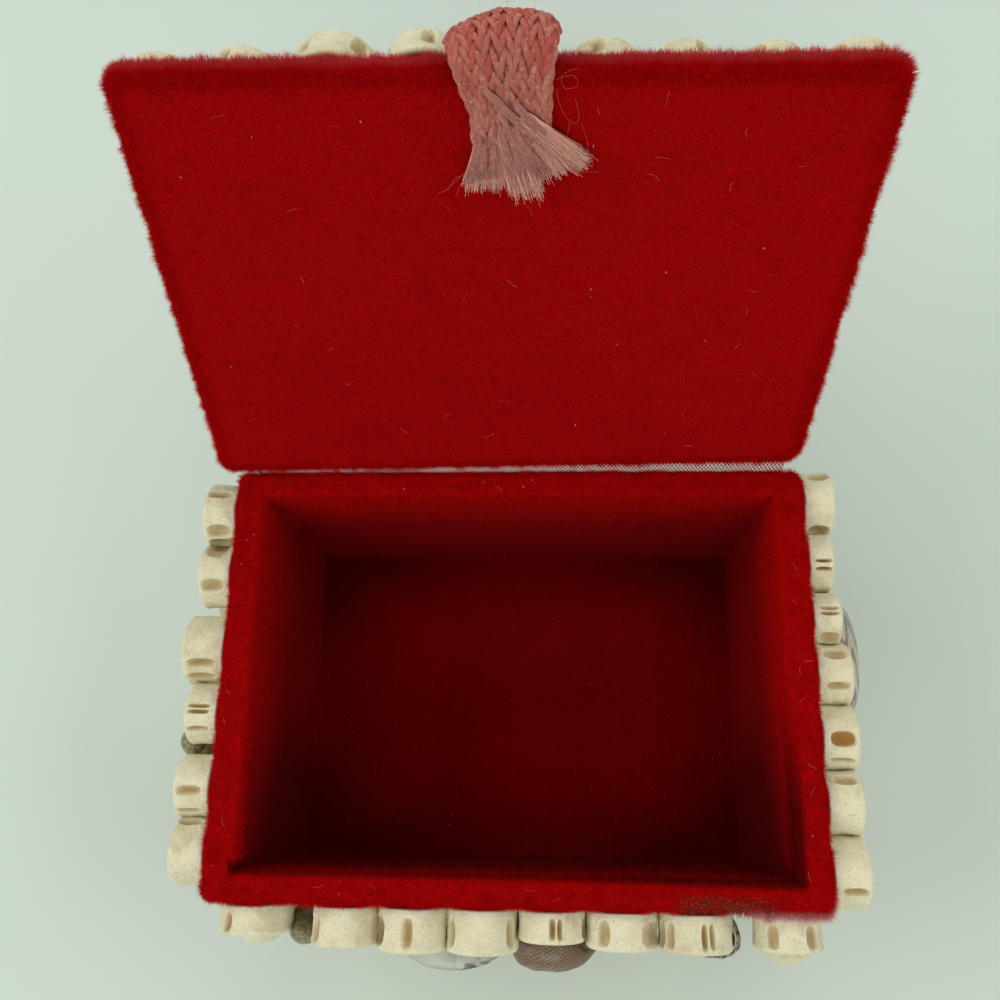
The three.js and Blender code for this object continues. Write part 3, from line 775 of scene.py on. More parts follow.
def vertebra_mesh(radius, thickness, foot, pits, look, seed):
    """A drum on a small foot, with a hollow face and deep pits in its side."""
    pits = list(pits) + FAR_PITS
    edges = [(edge + turn) for pit in pits for edge in pit[:2] for turn in (-360, 0, 360)]
    columns = 128
    full = thickness + foot
    rows = crowded(0, 1, 31, (0.2, 0.9), 0.06, 2.5)
    barrel = [(look.neck + (1 - look.neck) * abs(2 * t - 1) ** 2.4, foot + 0.3 + (thickness - 0.3 - RIM) * t)
              for t in rows]
    profile = [(0.0, 0.1), (0.6, 0.0), (0.8, 0.0), (0.82, foot), (0.93, foot), (0.985, foot + 0.08)]
    first, last = len(profile), len(profile) + len(barrel)
    profile += barrel
    for a in np.radians((18, 36, 54, 72, 90)):
        profile.append((1 - RIM / radius * (1 - math.cos(a)), full - RIM * (1 - math.sin(a))))
    bowl = 1 - RIM / radius
    profile += [(bowl * r, full - 0.36 * full * (1 - r ** 1.5)) for r in np.linspace(0.97, 0, 15)]
    share, rise = (np.array(column)[:, None] for column in zip(*profile))
    if not foot:
        # nothing is glued to the velvet's edge: the disc settles into the pile
        rise = np.where(rise < 0.12, rise - 0.6, rise)
    angle = crowded(-180, 180, columns + 1, edges, 5, 2.6)[None, :-1]
    level = np.arange(len(profile))[:, None]
    on_side = (level >= first) & (level < last)
    height = (rise - foot) / thickness + 0 * angle
    hollow, amber, lip = (np.zeros_like(height) for _ in range(3))
    for k, (low, high, *stained) in enumerate(pits):
        centre, half = (low + high) / 2, max((high - low) / 2, 4)
        x = ((angle - centre + 180) % 360 - 180) / half
        y = (height - 0.54 - 0.02 * math.sin(seed + k)) / 0.34
        q = (np.abs(x) ** 2.6 + np.abs(y) ** 2.6) ** (1 / 2.6)
        shallow = 0.65 if half > 22 else 1.0
        dip = shallow * smooth(1.04, 0.8, q) * (0.72 + 0.28 * np.clip(1 - q * q, 0, 1))
        hollow = np.maximum(hollow, dip)
        if stained:
            amber = np.maximum(amber, dip)
        lip += np.exp(-((q - 1.14) / 0.1) ** 2)
    a = np.radians(angle)
    wobble = 1 + 0.01 * np.sin(2 * a + seed) + 0.006 * np.sin(3 * a + 2 * seed)
    r = (radius + (0.3 if foot else 0.12)) * share * np.where(share > 0.83, wobble, 1)
    r = r - on_side * (look.pit_depth * radius * hollow - 0.08 * lip)
    points = np.stack([r * np.sin(a), r * np.cos(a), rise + 0 * a], -1).reshape(-1, 3)
    drift = 0.09 * wander(points, 5, seed, 2) + 0.03 * wander(points, 1.1, seed + 1)
    # painted shade: the foot and back face are coloured dark brown for the gap behind the disc
    side, face, painted_shade_foot = (np.repeat(part.ravel(), columns) for part in (on_side, level > last + 4, level < 4))
    flat = points[:, :2] / (np.linalg.norm(points[:, :2], axis=1)[:, None] + 1e-6)
    points[:, :2] += flat * (drift * side)[:, None]
    from_middle = np.linalg.norm(points[:, :2], axis=1)
    points[:, 2] += np.where(face, 0.09 * np.sin(from_middle * 7.5) + 0.4 * drift, 0)
    # painted reflection: the back rim is tinted pink for the red light from the velvet beside it
    back = smooth(foot + 1.5, foot + 0.7, np.repeat(rise.ravel(), columns)) * (foot > 0)
    # clockwise columns from outside, so the strips are turned over
    return points, strips(len(profile), columns, True)[:, ::-1], (), {
        "hollow": hollow * on_side, "amber": amber * on_side, "foot": painted_shade_foot, "back": back, "face": face,
        "tone": np.full(len(points), (seed * 0.37) % 1)}


def dome_mesh(size, seed):
    """A smooth worn end of bone: half an egg, flat side down."""
    across, up = 48, 20
    a = np.linspace(0, 2 * np.pi, across, endpoint=False)[None, :]
    t = np.linspace(0, np.pi / 2, up + 1)[:-1, None]
    full = np.cos(t) ** 0.8
    ring = np.stack([full * np.sin(a) * size[0] / 2, full * np.cos(a) * size[1] / 2,
                     np.sin(t) * size[2] + 0 * a], -1).reshape(-1, 3)
    ring += 0.08 * wander(ring, 9, seed)[:, None] * (ring[:, 2:] > 0.5)
    points = np.concatenate([ring, [[0, 0, size[2]], [0, 0, 0]]])
    ends = np.concatenate([fan(len(ring), len(ring) - across, across),
                           fan(len(ring) + 1, 0, across, turned_over=True)])
    return points, strips(up, across, True), ends, {"tone": np.full(len(points), 0.9)}


def bone_finish(look):
    """Dry shark bone: cream, pored, stained tan in its pits."""
    m = Finish("bone", Subsurface_Weight=0.1, Subsurface_Scale=0.0012,
               Subsurface_Radius=(1.0, 0.7, 0.4), Specular_IOR_Level=0.18)
    patches = m.ramp(m.noise(160, 4, 0.6, 0.4), 0.42, 0.7)
    pores = m.ramp(m.cells(2600), 0.12, 0.3)
    specks = m.ramp(m.noise(2300, 2, 0.7), 0.56, 0.68)
    blotch = m.times(patches, m.ramp(m.attribute("tone"), 0, 1, 0.25, 0.8))
    colour = m.mix(blotch, look.cream, look.tan)
    colour = m.mix(m.times(specks, 0.4), colour, "938a70")
    hollow = m.attribute("hollow")
    colour = m.mix(m.ramp(hollow, 0.05, 0.7, 0, 0.9), colour, look.pit)
    colour = m.mix(m.ramp(hollow, 0.8, 1.0, 0, 0.4), colour, "a57c4c")
    colour = m.mix(m.ramp(m.attribute("amber"), 0.1, 0.6, 0, 0.85), colour, "b07c30")
    # painted reflection of the red velvet on the back rim
    colour = m.mix(m.times(m.attribute("back"), 0.5), colour, "e6d8cb")
    face = m.times(m.attribute("face"), 0.35)
    colour = m.mix(face, colour, "bba776")
    # painted shade: the foot and back face dark brown, for the gap behind the disc
    colour = m.mix(m.attribute("foot"), colour, "4a3626")
    bump = m.bump(pores, 0.5, 0.0002)
    bump = m.bump(m.noise(520, 5, 0.7), 0.6, 0.0004, bump)
    return m.done(colour, m.ramp(patches, 0, 1, 0.7, 0.85), bump)


# ---------------------------------------------------------------- sea shells
def coil_mesh(length, radius, lift, mouth=0.0, turns=5.0, growth=1.9, body=0.55, aspect=1.1, canal=0.0,
              ribs=0, cords=0, relief=0.0, flare=0.08, per_turn=56, around=40, seed=1):
    """A snail shell as a real swept spiral, apex towards -X, lying on its bed."""
    a = body * radius
    b = a * aspect
    middle = length - b * (1 + canal)
    phi = np.linspace(0, turns * 2 * np.pi, int(turns * per_turn) + 1)[:, None]
    end = phi[-1, 0]
    psi = np.linspace(-np.pi, np.pi, around + 1)[None, :]
    s, c = np.sin(psi), np.cos(psi)
    # the front end is drawn out into the canal, close to the axis
    fore = np.clip(s, 0, 1)
    stretch = 1 + canal * fore ** 2.2
    narrow = 1 - (0.8 * fore ** 2.5 if canal else 0)
    hub = (radius - a) * (1 - (0.75 * fore ** 2 if canal else 0))

    def sweep(angle, shrink, open_out):
        e = growth ** ((angle - end) / (2 * np.pi))
        relieved = 0.5 * relief * np.cos(cords * psi) if cords else 0
        if ribs:
            relieved = 0.5 * relief * np.cos(ribs * angle) * (0.35 + 0.65 * np.clip(c, 0, 1)) + relieved
        radial = (hub + (a * (1 + open_out) * shrink) * c * narrow + relieved * shrink) * e
        axial = (middle + b * shrink * s * stretch * (1 + 0.5 * open_out)) * e
        theta = angle - end + math.radians(mouth)
        return np.stack([axial - length / 2, radial * np.cos(theta), lift + radial * np.sin(theta)], -1)

    # out to the lip, and back from it a little way inside
    back = np.linspace(end, end - 1.2 * np.pi, 30)[:, None]
    outer = sweep(phi, 1.0, flare * smooth(end - 0.5, end, phi))
    inner = sweep(back, 0.93, flare * smooth(end - 0.5, end, back) * 0.6)
    points = np.concatenate([outer.reshape(-1, 3), inner.reshape(-1, 3)])
    rows = len(phi) + len(back)
    attributes = {
        "along": (points[:, 0] + length / 2) / length,
        "whorl": np.repeat((np.concatenate([phi, back]) - end).ravel(), around + 1) / (2 * np.pi),
        "across": np.tile(psi.ravel() / np.pi, rows),
        "inside": np.repeat([0, 1], (len(phi) * (around + 1), len(back) * (around + 1)))}
    drift = wander(points, radius * 0.6, seed, 2) * radius * 0.012
    points[:, 1] += drift
    points[:, 2] = np.maximum(points[:, 2] + drift, -0.22)
    return points, strips(rows, around + 1, False)[:, ::-1], (), attributes


def valve_mesh(width, height, depth, ribs, spread, power, notch=0.05, rows=54, per_rib=12, seed=1):
    """A ribbed valve, hinge up, domed off its bed, closed underneath."""
    columns = ribs * per_rib
    wide = columns + 1
    across = np.linspace(-1, 1, wide)[None, :]
    phi = np.radians(spread) * across
    s = np.linspace(0, 1, rows + 1)[1:, None] ** 0.9
    sweep = np.radians(np.arange(0, spread + 0.5, 1))
    stretch = width / (2 * (height * np.cos(sweep) ** power * np.sin(sweep)).max())
    groove = (0.5 + 0.5 * np.cos(np.pi * ribs * (across + 1))) ** 1.4
    dent = notch * groove
    reach = height * np.cos(phi) ** power * s * (1 - dent * smooth(0.75, 1.0, s))
    dome = np.sin(np.pi * s ** 0.62) ** 0.7 * np.sqrt(np.clip(1 - across ** 2, 0, 1))
    steps = 0.012 * depth * np.sin(2 * np.pi * (s * 9 + 0.4 * np.sin(3 * s + seed)))
    z = depth * dome * (1 - dent * smooth(0.02, 0.3, s)) + steps * dome
    points = np.stack([reach * np.sin(phi) * stretch, height / 2 - reach * np.cos(phi), z], -1).reshape(-1, 3)
    points[:, 0] += 0.012 * width * wander(points, width * 0.7, seed)
    points[:, 2] = np.maximum(points[:, 2] * (1 + 0.05 * wander(points, width * 0.5, seed + 1)), 0)
    tip, middle = len(points), len(points) + 1
    points = np.concatenate([points, [[0, height / 2, 0], [0, 0, 0]]])
    j = np.arange(columns)
    loop = np.concatenate([[tip], np.arange(rows) * wide, (rows - 1) * wide + 1 + j,
                           np.arange(rows - 1)[::-1] * wide + columns])
    triangles = np.concatenate([
        np.column_stack([np.full(columns, tip), j, j + 1]),
        np.column_stack([np.full(len(loop), middle), np.roll(loop, -1), loop])])
    return points, strips(rows, wide, False), triangles, {
        "along": np.concatenate([np.repeat(s.ravel(), wide), [0, 0.5]]),
        "groove": np.concatenate([np.tile(groove.ravel(), rows), [0, 0]])}


COCKLE = {"ribs": 14, "spread": 72, "power": 0.8, "notch": 0.05, "per_rib": 10}
SCALLOP = {"ribs": 11, "spread": 56, "power": 0.3, "notch": 0.07, "per_rib": 12}
MOON = {"turns": 3.6, "growth": 2.3, "body": 0.66, "aspect": 2.9, "flare": 0.05}
BUBBLE = {"turns": 2.4, "growth": 4.2, "body": 0.8, "aspect": 1.7, "flare": 0.08}
WHELK = {"turns": 5.0, "growth": 1.8, "body": 0.62, "aspect": 1.5, "canal": 0.3, "ribs": 20, "cords": 16,
         "relief": 0.5, "flare": 0.1}
TURBAN = {"turns": 5.5, "growth": 1.75, "body": 0.6, "aspect": 1.15, "canal": 0.35, "flare": 0.1}
OLIVE = {"turns": 3.6, "growth": 2.1, "body": 0.6, "aspect": 3.4, "flare": 0.05}
# coils that swell past their node's room, by so much along, across and out
FULLER = {"front_bubble_shell": (1.12, 1, 1.03), "front_ribbed_whelk": (1.03, 1.05, 1.17),
          "front_moon_snail": (1.08, 1, 0.9), "right_banded_turban": (1.22, 1, 1.05)}
# node: (bed, kind, turn on the bed, mouth angle, finish)
COILS = {
    "front_moon_snail": ("front", MOON, -90, 10, "olive"),
    "front_bubble_shell": ("front", BUBBLE, 0, 40, "bubble"),
    "front_ribbed_whelk": ("front", OLIVE, 0, -80, "brown"),
    "right_banded_turban": ("right", OLIVE, 180, -70, "banded"),
    "left_moon_snail": ("left", MOON, -90, 10, "olive"),
    "left_ribbed_whelk": ("left", WHELK, 180, 20, "brown"),
    "lid_whelk_left": ("lid", WHELK, 90, 40, "brown"),
    "lid_tulip_right": ("lid", TURBAN, 90, 40, "banded"),
    "lid_olive": ("lid", OLIVE, 0, 40, "grey"),
}
# node: (bed, kind, turn on the bed)
VALVES = {
    "front_white_cockle": ("front", COCKLE, 180), "front_scallop_left": ("front", SCALLOP, 0),
    "front_scallop_right": ("front", SCALLOP, 0), "right_cockle_front": ("right", COCKLE, 0),
    "right_cockle_back": ("right", COCKLE, 0), "left_cockle": ("left", COCKLE, 0),
    "back_scallop_left": ("back", SCALLOP, 0), "back_scallop_middle": ("back", SCALLOP, 0),
    "back_scallop_right": ("back", SCALLOP, 0), "lid_scallop": ("lid", SCALLOP, 180),
    "lid_cockle_left": ("lid", COCKLE, 180), "lid_cockle_right": ("lid", COCKLE, 180),
}
# finish: the first word of its slot, which also names its base colour
SLOTS = {"cream": "cream", "grey": "grey", "olive": "grey", "bubble": "grey", "brown": "brown",
         "banded": "banded"}


def shell_finish(look, kind):
    """One of the six shell finishes."""
    m = Finish(kind + "_shell", Specular_IOR_Level=0.45, Coat_Weight=0.12, Coat_Roughness=0.25)
    along, across, whorl = (m.attribute(k) for k in ("along", "across", "whorl"))
    mottle, fine = m.noise(240, 4, 0.6, 0.6), m.noise(1500, 3, 0.6)
    base = getattr(look, SLOTS[kind])
    if kind == "cream":
        growth = m.wave(along, 38.0, mottle, 5.0)
        colour = m.mix(m.ramp(growth, -0.2, 1.0, 0, 0.5), base, "c9a57a")
        colour = m.mix(m.ramp(along, 0.25, 0.0, 0, 0.6), colour, "b98d63")
        # painted shade: darker down the grooves between the ribs
        colour = m.mix(m.times(m.attribute("groove"), 0.35), colour, "a38c6c")
        rough = 0.5
    elif kind == "bubble":
        streak = m.ramp(m.noise(260, 3, 0.6, 1.2, m.stretched(1, 1, 0.35)), 0.42, 0.56)
        streak = m.times(streak, m.ramp(along, 0.6, 0.78))
        colour = m.mix(m.ramp(mottle, 0.4, 0.7, 0, 0.35), "cdd3c4", "a9ad9c")
        colour = m.mix(m.times(streak, 0.85), colour, "6a5158")
        rough = 0.3
    elif kind == "olive":
        lines = m.wave(whorl, 60.0, mottle, 3.0)
        colour = m.mix(m.ramp(lines, -0.3, 0.6, 0, 0.45), "8f8660", "5c5236")
        rough = 0.32
    elif kind == "grey":
        lines = m.wave(whorl, 120.0, mottle, 6.0)
        colour = m.mix(m.ramp(lines, 0.2, 1, 0, 0.25), base, "8c8f86")
        stripe = m.times(m.ramp(m.wave(across, 22.0), 0.55, 0.85), m.ramp(along, 0.6, 0.85))
        colour = m.mix(m.times(stripe, 0.7), colour, "6b5560")
        colour = m.mix(m.ramp(fine, 0.62, 0.7, 0, 0.4), colour, "6f6650")
        rough = 0.32
    elif kind == "brown":
        beads = m.times(m.wave(across, 100.0, mottle, 3.0), m.wave(whorl, 251.0))
        colour = m.mix(m.ramp(beads, -0.4, 0.9, 0, 0.8), base, "a58c74")
        colour = m.mix(m.ramp(mottle, 0.5, 0.72, 0, 0.7), colour, "8e8a82")
        rough = 0.5
    else:
        zigzag = m.wave(across, 30.0, m.wave(whorl, 60.0), 2.6)
        colour = m.mix(m.ramp(zigzag, 0.2, 0.8, 0, 0.75), base, "7a5a48")
        colour = m.mix(m.ramp(m.noise(110, 2), 0.5, 0.7, 0, 0.7), colour, "8c8fa0")
        colour = m.mix(m.ramp(fine, 0.6, 0.68, 0, 0.6), colour, "4a3a34")
        rough = 0.34
    colour = m.mix(m.attribute("inside"), colour, "b98a76")
    bump = m.bump(mottle, 0.3, 0.0006, m.bump(fine, 0.25, 0.0002))
    return m.done(colour, rough, bump)


def lip_mesh():
    """A broken valve's rolled lip, curled round a vertebra's corner."""
    knots = [(42.4, 0.2), (44.1, 2.3), (46.2, 5.0), (45.6, 8.0), (42.8, 9.5), (39.4, 9.4)]
    t, x, z = eased_line(knots, 100, 500)
    around = 24
    points, quads, ends, _, _ = tube(np.column_stack([x, 53.2 - 0.05 * t ** 2, z]), 2.5, 5.0, around,
                                     taper=0.7, flat=(0, 1, 0))
    points += 0.07 * wander(points, 2, 31, 2)[:, None]
    turn = np.linspace(0, 2 * np.pi, around, endpoint=False)
    outer = np.concatenate([np.tile(0.5 - 0.5 * np.cos(turn), len(t)), [0.5, 0.5]])
    return points, quads, ends, {"outer": outer}


def tube(path, width, depth, around=8, taper=0.0, flat=(0, 0, 1)):
    """A closed tube of elliptical section along a path; flat points to its thin
    side. Also gives, for each point, the place across it and the run along it."""
    along = np.gradient(path, axis=0)
    along /= np.linalg.norm(along, axis=1)[:, None] + 1e-9
    side = np.cross(along, np.broadcast_to(np.asarray(flat, float), path.shape))
    side /= np.linalg.norm(side, axis=1)[:, None] + 1e-9
    up = np.cross(side, along)
    count = len(path)
    thin = np.clip(1 - taper * smooth(0.55, 1.0, np.linspace(0, 1, count)), 0.05, 1)[:, None, None]
    q = np.linspace(0, 2 * np.pi, around, endpoint=False)[None, :, None]
    section = side[:, None] * np.cos(q) * width / 2 + up[:, None] * np.sin(q) * depth / 2
    rings = path[:, None] + thin * section
    points = np.concatenate([rings.reshape(-1, 3), path[:1], path[-1:]])
    ends = np.concatenate([fan(count * around, 0, around, turned_over=True),
                           fan(count * around + 1, (count - 1) * around, around)])
    across = np.concatenate([np.tile(np.abs(np.linspace(-1, 1, around)), count), [0, 0]])
    run = np.concatenate([[0], np.cumsum(np.linalg.norm(np.diff(path, axis=0), axis=1))])
    run = np.concatenate([np.repeat(run, around), [0, run[-1]]])
    return points, strips(count, around, True), ends, across, run


def gathered(parts, name, **extra):
    """One mesh from several (points, quads, triangles, attributes)."""
    points, quads, triangles, start = [], [], [], 0
    attributes = {}
    for p, q, t, named in parts:
        points.append(p)
        quads.append(np.asarray(q).reshape(-1, 4) + start)
        triangles.append(np.asarray(t).reshape(-1, 3) + start)
        start += len(p)
        for key, value in named.items():
            attributes.setdefault(key, []).append(np.broadcast_to(value, (len(p),)))
    attributes = {key: np.concatenate(value) for key, value in attributes.items()}
    return mesh_from(name, np.concatenate(points), np.concatenate(quads), np.concatenate(triangles),
                     **attributes)


# ------------------------------------------------------------ card and tape
def card_finish(look, name):
    """Paper over card, with old glue smeared between the shells."""
    m = Finish(name, Specular_IOR_Level=0.3)
    smear = m.ramp(m.noise(70, 3, 0.6, 0.5), 0.5, 0.62)
    colour = m.mix(smear, look.card, look.glue)
    colour = m.mix(m.ramp(m.noise(600, 3), 0.6, 0.75, 0, 0.4), colour, "8e8a76")
    fibres = m.noise(1200, 3, 0.6, place=m.stretched(1, 0.3, 1))
    bump = m.bump(fibres, 0.3, 0.0002)
    bump = m.bump(smear, 0.6, 0.0006, bump)
    return m.done(colour, m.ramp(smear, 0, 1, 0.9, 0.45), bump)


TAPE_W, TAPE_FOOT = 119.0, 47.0  # its width, and how high it starts on the back wall


def tape_mesh():
    """Woven tape: up the back wall, round the hinge and onto the lid's edge."""
    columns, half = 240, TAPE_W / 2
    x = np.linspace(-half, half, columns + 1)
    lean = (LID_CORNERS[1][1] - LID_CORNERS[0][1]) / (LID_CORNERS[1][0] - LID_CORNERS[0][0])
    edge_v = LID_CORNERS[0][1] + lean * (x - LID_CORNERS[0][0]) - 0.1
    wall_y = HALF_D + GAP + 0.15
    rows = []
    for z in np.linspace(TAPE_FOOT, BOX_H - 1.0, 34):
        rows.append(np.column_stack([x, np.full_like(x, wall_y), np.full_like(x, z)]))
    lid_rows = []
    for w in np.linspace(0.9, LID_T - 0.6, 10):
        lid_rows.append(moved(np.column_stack([x, -edge_v, np.full_like(x, w)]), LID_BED))
    first, last = rows[-1], lid_rows[0]
    start_way = np.array([0, 0.15, 1.0])
    end_way = aimed((0, 0, 1), LID_BED)
    reach = np.linalg.norm(last - first, axis=1)[:, None] * 0.9
    for t in np.linspace(0, 1, 12)[1:-1]:
        h = (2 * t ** 3 - 3 * t * t + 1, t ** 3 - 2 * t * t + t, -2 * t ** 3 + 3 * t * t, t ** 3 - t * t)
        rows.append(h[0] * first + h[1] * start_way * reach + h[2] * last + h[3] * end_way * reach)
    rows += lid_rows
    grid = np.stack(rows)
    run = np.concatenate([[0], np.cumsum(np.linalg.norm(np.diff(grid[:, columns // 2], axis=0), axis=1))])
    normal = np.cross(np.gradient(grid, axis=1), np.gradient(grid, axis=0))
    normal /= np.linalg.norm(normal, axis=2)[:, :, None]
    thick = 0.14 + 0.02 * np.sin(x * 9)[None, :, None]
    faces = [(grid + normal * thick).reshape(-1, 3), (grid - normal * thick).reshape(-1, 3)]
    points = np.concatenate(faces)
    wide, high = columns + 1, len(rows)
    quads = strips(high, wide, False)
    under = quads[:, ::-1] + high * wide
    rim = np.concatenate([np.arange(wide), np.arange(1, high) * wide + columns,
                          (high - 1) * wide + np.arange(wide - 1)[::-1], np.arange(1, high - 1)[::-1] * wide])
    onward = np.roll(rim, -1)
    sides = np.column_stack([rim, rim + high * wide, onward + high * wide, onward])
    mesh = mesh_from("tape", points, np.concatenate([quads, under, sides]),
                     run=np.tile(np.repeat(run, wide), 2), across=np.tile(np.tile(x, high), 2))
    return mesh, run[-1]


def gauze_finish(look):
    """Plain-woven cotton tape, read along its own run and width."""
    m = Finish("gauze", Sheen_Weight=0.2, Specular_IOR_Level=0.2)
    threads = 7.5  # radians of weave per millimetre
    warp, weft = (m.wave(m.attribute(way), threads) for way in ("across", "run"))
    weave = m.maths("MULTIPLY_ADD", m.times(warp, weft), 0.5, 0.5)
    colour = m.mix(m.ramp(weave, 0.3, 0.7), "8f4c48", look.gauze)
    colour = m.mix(m.ramp(m.noise(90, 3), 0.55, 0.75, 0, 0.5), colour, "cf9f93")
    return m.done(colour, 0.9, m.bump(weave, 0.8, 0.0003))


# ------------------------------------------------------------------ pull tab
TAB_THICK = 1.7
# from the hinge to its tucked end and to where its loop starts, and the loop's reach
TUCK_V, LOOP_V, LOOP_OUT = 78.5, 88.3, 6.5
# left and right edge of the band by the run along it
TAB_RUN = [0, 8, 16, 20, 27, 33.5, 39.5, 47]
TAB_LEFT = [-5.6, -6.4, -9.0, -9.3, -7.6, -5.4, -5.1, -6.2]
TAB_RIGHT = [5.6, 6.6, 9.4, 9.9, 8.7, 8.3, 8.1, 8.4]


def tab_point(run, side, rise):
    """A point on the pull tab's band: run mm along it from its tucked end, side
    from -1 to 1 across it, rise mm off its middle surface; closed-lid axes."""
    inner, outer = -GAP - TAB_THICK / 2, LID_T + GAP + TAB_THICK / 2
    middle, tall = (inner + outer) / 2, (outer - inner) / 2
    lead, bend = LOOP_V - TUCK_V, 17.2
    left, right = (np.interp(run, TAB_RUN, edge) for edge in (TAB_LEFT, TAB_RIGHT))
    u = (left + right) / 2 + side * (right - left) / 2
    # the loop stands highest in its middle and falls off at its shoulders
    arch = np.interp(u, [-9.4, -7.5, -4, 0, 5, 8, 9.2, 10], [0.5, 0.76, 1.0, 1.2, 1.14, 1.0, 0.8, 0.55])
    t = np.clip((run - lead) / bend, 0, 1) * np.pi
    part = [run < lead, run < lead + bend]
    v = np.select(part, [TUCK_V + run, LOOP_V + (LOOP_OUT * arch + rise) * np.sin(t)],
                  LOOP_V - (run - lead - bend))
    w = np.select(part, [outer + rise, middle + (tall + rise) * np.cos(t)], inner - rise)
    return np.stack([u, -v, w], -1)


def strand_paths(strands, length, period, columns):
    """Centre lines of a flat braid's strands, over in one column, under in the next."""
    run = np.arange(0, length, 0.4)
    paths = []
    for k in range(strands):
        p = (run / period + k / strands) % 1.0
        side = 1 - np.abs(4 * p - 2)
        side = np.sign(side) * (1 - (1 - np.abs(side)) ** 1.15) * 0.93
        way = np.clip(np.sin(2 * np.pi * p) * 3, -1, 1)
        over = np.sin(np.pi * columns * (side + 1) / 2)
        paths.append((run, side, way * over * 0.36))
    return paths


# Bundles that cross the band and end in the brushes: (across, from hinge) points
SWEEPS = [
    [(0.8, 82.2), (3.9, 80.7), (8.0, 77.7), (12.5, 75.3), (14.6, 74.2)],
    [(0.2, 82.9), (2.9, 80.6), (6.6, 77.5), (10.8, 75.0), (13.4, 73.6)],
    [(1.3, 81.3), (4.3, 79.2), (8.1, 75.8), (11.3, 73.7), (13.2, 72.8)],
    [(2.0, 84.5), (3.8, 82.2), (6.1, 79.7), (9.5, 77.4)],
    [(-3.0, 86.5), (-0.6, 84.6), (1.2, 82.6), (2.8, 80.6), (4.6, 78.6)],
    [(1.7, 80.7), (2.6, 78.5), (5.5, 74.3), (7.6, 71.4)],
    [(0.9, 80.9), (2.2, 77.4), (4.4, 73.6), (6.0, 70.8)],
    [(0.0, 82.2), (1.4, 78.7), (3.1, 74.3), (3.9, 70.0)],
    [(-0.3, 80.4), (0.4, 77.4), (1.3, 72.6), (1.9, 69.4)],
    [(-3.8, 79.2), (-4.2, 75.8), (-5.4, 72.5), (-5.9, 70.6)],
    [(-3.0, 78.0), (-3.4, 74.2), (-3.8, 71.2)],
    [(-1.5, 77.4), (-1.6, 74.3), (-1.8, 71.6)],
]


def pull_tab_mesh():
    """The braided band, with loose strands that sweep across its lower end."""
    parts = []
    draw = np.random.default_rng(41)
    around = 12
    for k, (run, side, rise) in enumerate(strand_paths(34, 45.5, 84.0, 15)):
        stop = draw.integers(0, 8)
        side = side + 0.035 * np.sin(run / 5 + draw.uniform(0, 6)) * (1 - np.abs(side))
        run, side, rise = (a[:len(a) - stop] for a in (run, side, rise))
        path = moved(tab_point(run, side, rise), LID_BED)
        ahead = moved(tab_point(run, side, rise + 0.5), LID_BED) - path
        path = path + 0.06 * np.column_stack([wander(path, 5, 50 + k), wander(path, 5, 80 + k), 0 * run])
        p, q, t, across, _ = tube(path, draw.uniform(0.92, 1.16), 0.62, around, flat=ahead)
        pale = smooth(22, 40, np.concatenate([np.repeat(run, around), [0, run[-1]]]))
        parts.append((p, q, t, {"across": across, "tone": draw.uniform(), "pale": pale}))
    share = np.linspace(0, 1, 34)
    out = aimed((0, 0, -1), LID_BED)
    for k, knots in enumerate(SWEEPS):
        t, u, v = eased_line(knots, len(share), 4)
        lift = -2.1 - 0.35 * np.sin(np.pi * share) - 0.04 * k + 1.0 * smooth(0.12, 0.0, share)
        aside = np.column_stack([np.gradient(v), -np.gradient(u)])
        aside /= np.linalg.norm(aside, axis=1)[:, None]
        # each bundle is a few fine plies that part towards its end
        for ply in (-1, -0.33, 0.33, 1):
            apart = ply * (0.36 + 0.3 * share ** 2) + 0.06 * np.sin(t * 4 + 3 * ply + k)
            path = moved(np.column_stack([u + apart * aside[:, 0], -v - apart * aside[:, 1],
                                          lift + 0.12 * abs(ply)]), LID_BED)
            p, q, ends, across, _ = tube(path, 0.42, 0.4, taper=0.6, flat=out)
            parts.append((p, q, ends, {"across": across, "tone": draw.uniform(0.3, 1), "pale": 1.0}))
    return gathered(parts, "pull_tab")


# Brushes of the frayed end: root line, tip line, each (across, from hinge), and lift
BRUSHES = [
    ((-4.4, 78.6), (-0.8, 78.2), (-7.0, 68.6), (-0.4, 68.6), -1.9),
    ((-0.8, 79.4), (2.2, 79.0), (1.2, 67.2), (6.7, 67.2), -2.3),
    ((2.4, 79.6), (5.4, 80.2), (6.2, 69.6), (11.3, 71.6), -1.9),
    ((2.6, 81.6), (4.4, 82.8), (12.6, 71.9), (14.9, 74.0), -2.5),
]


def brush_roots():
    """Small patches where the loose fibres start, with the way they run."""
    parts, flows = [], []
    across, deep = 10, 3
    t = np.arange(across + 1)[:, None] / across
    for left, right, tip_left, tip_right, lift in BRUSHES:
        root = np.array(left) * (1 - t) + np.array(right) * t
        way = np.array(tip_left) * (1 - t) + np.array(tip_right) * t - root
        height = lift + 0.35 * np.sin(np.pi * t)
        rows = [np.hstack([(root + way * 0.09 * i) * (1, -1), height]) for i in range(deep + 1)]
        parts.append((moved(np.concatenate(rows), LID_BED), strips(deep + 1, across + 1, False), (), {}))
        flows += [np.hstack([way * (1, -1), np.full_like(t, 0.25)])] * (deep + 1)
    mesh = gathered(parts, "roots")
    layer = mesh.attributes.new("flow", "FLOAT_VECTOR", "POINT")
    layer.data.foreach_set("vector", (aimed(np.concatenate(flows), LID_BED) * MM).astype(np.float32).ravel())
    return mesh


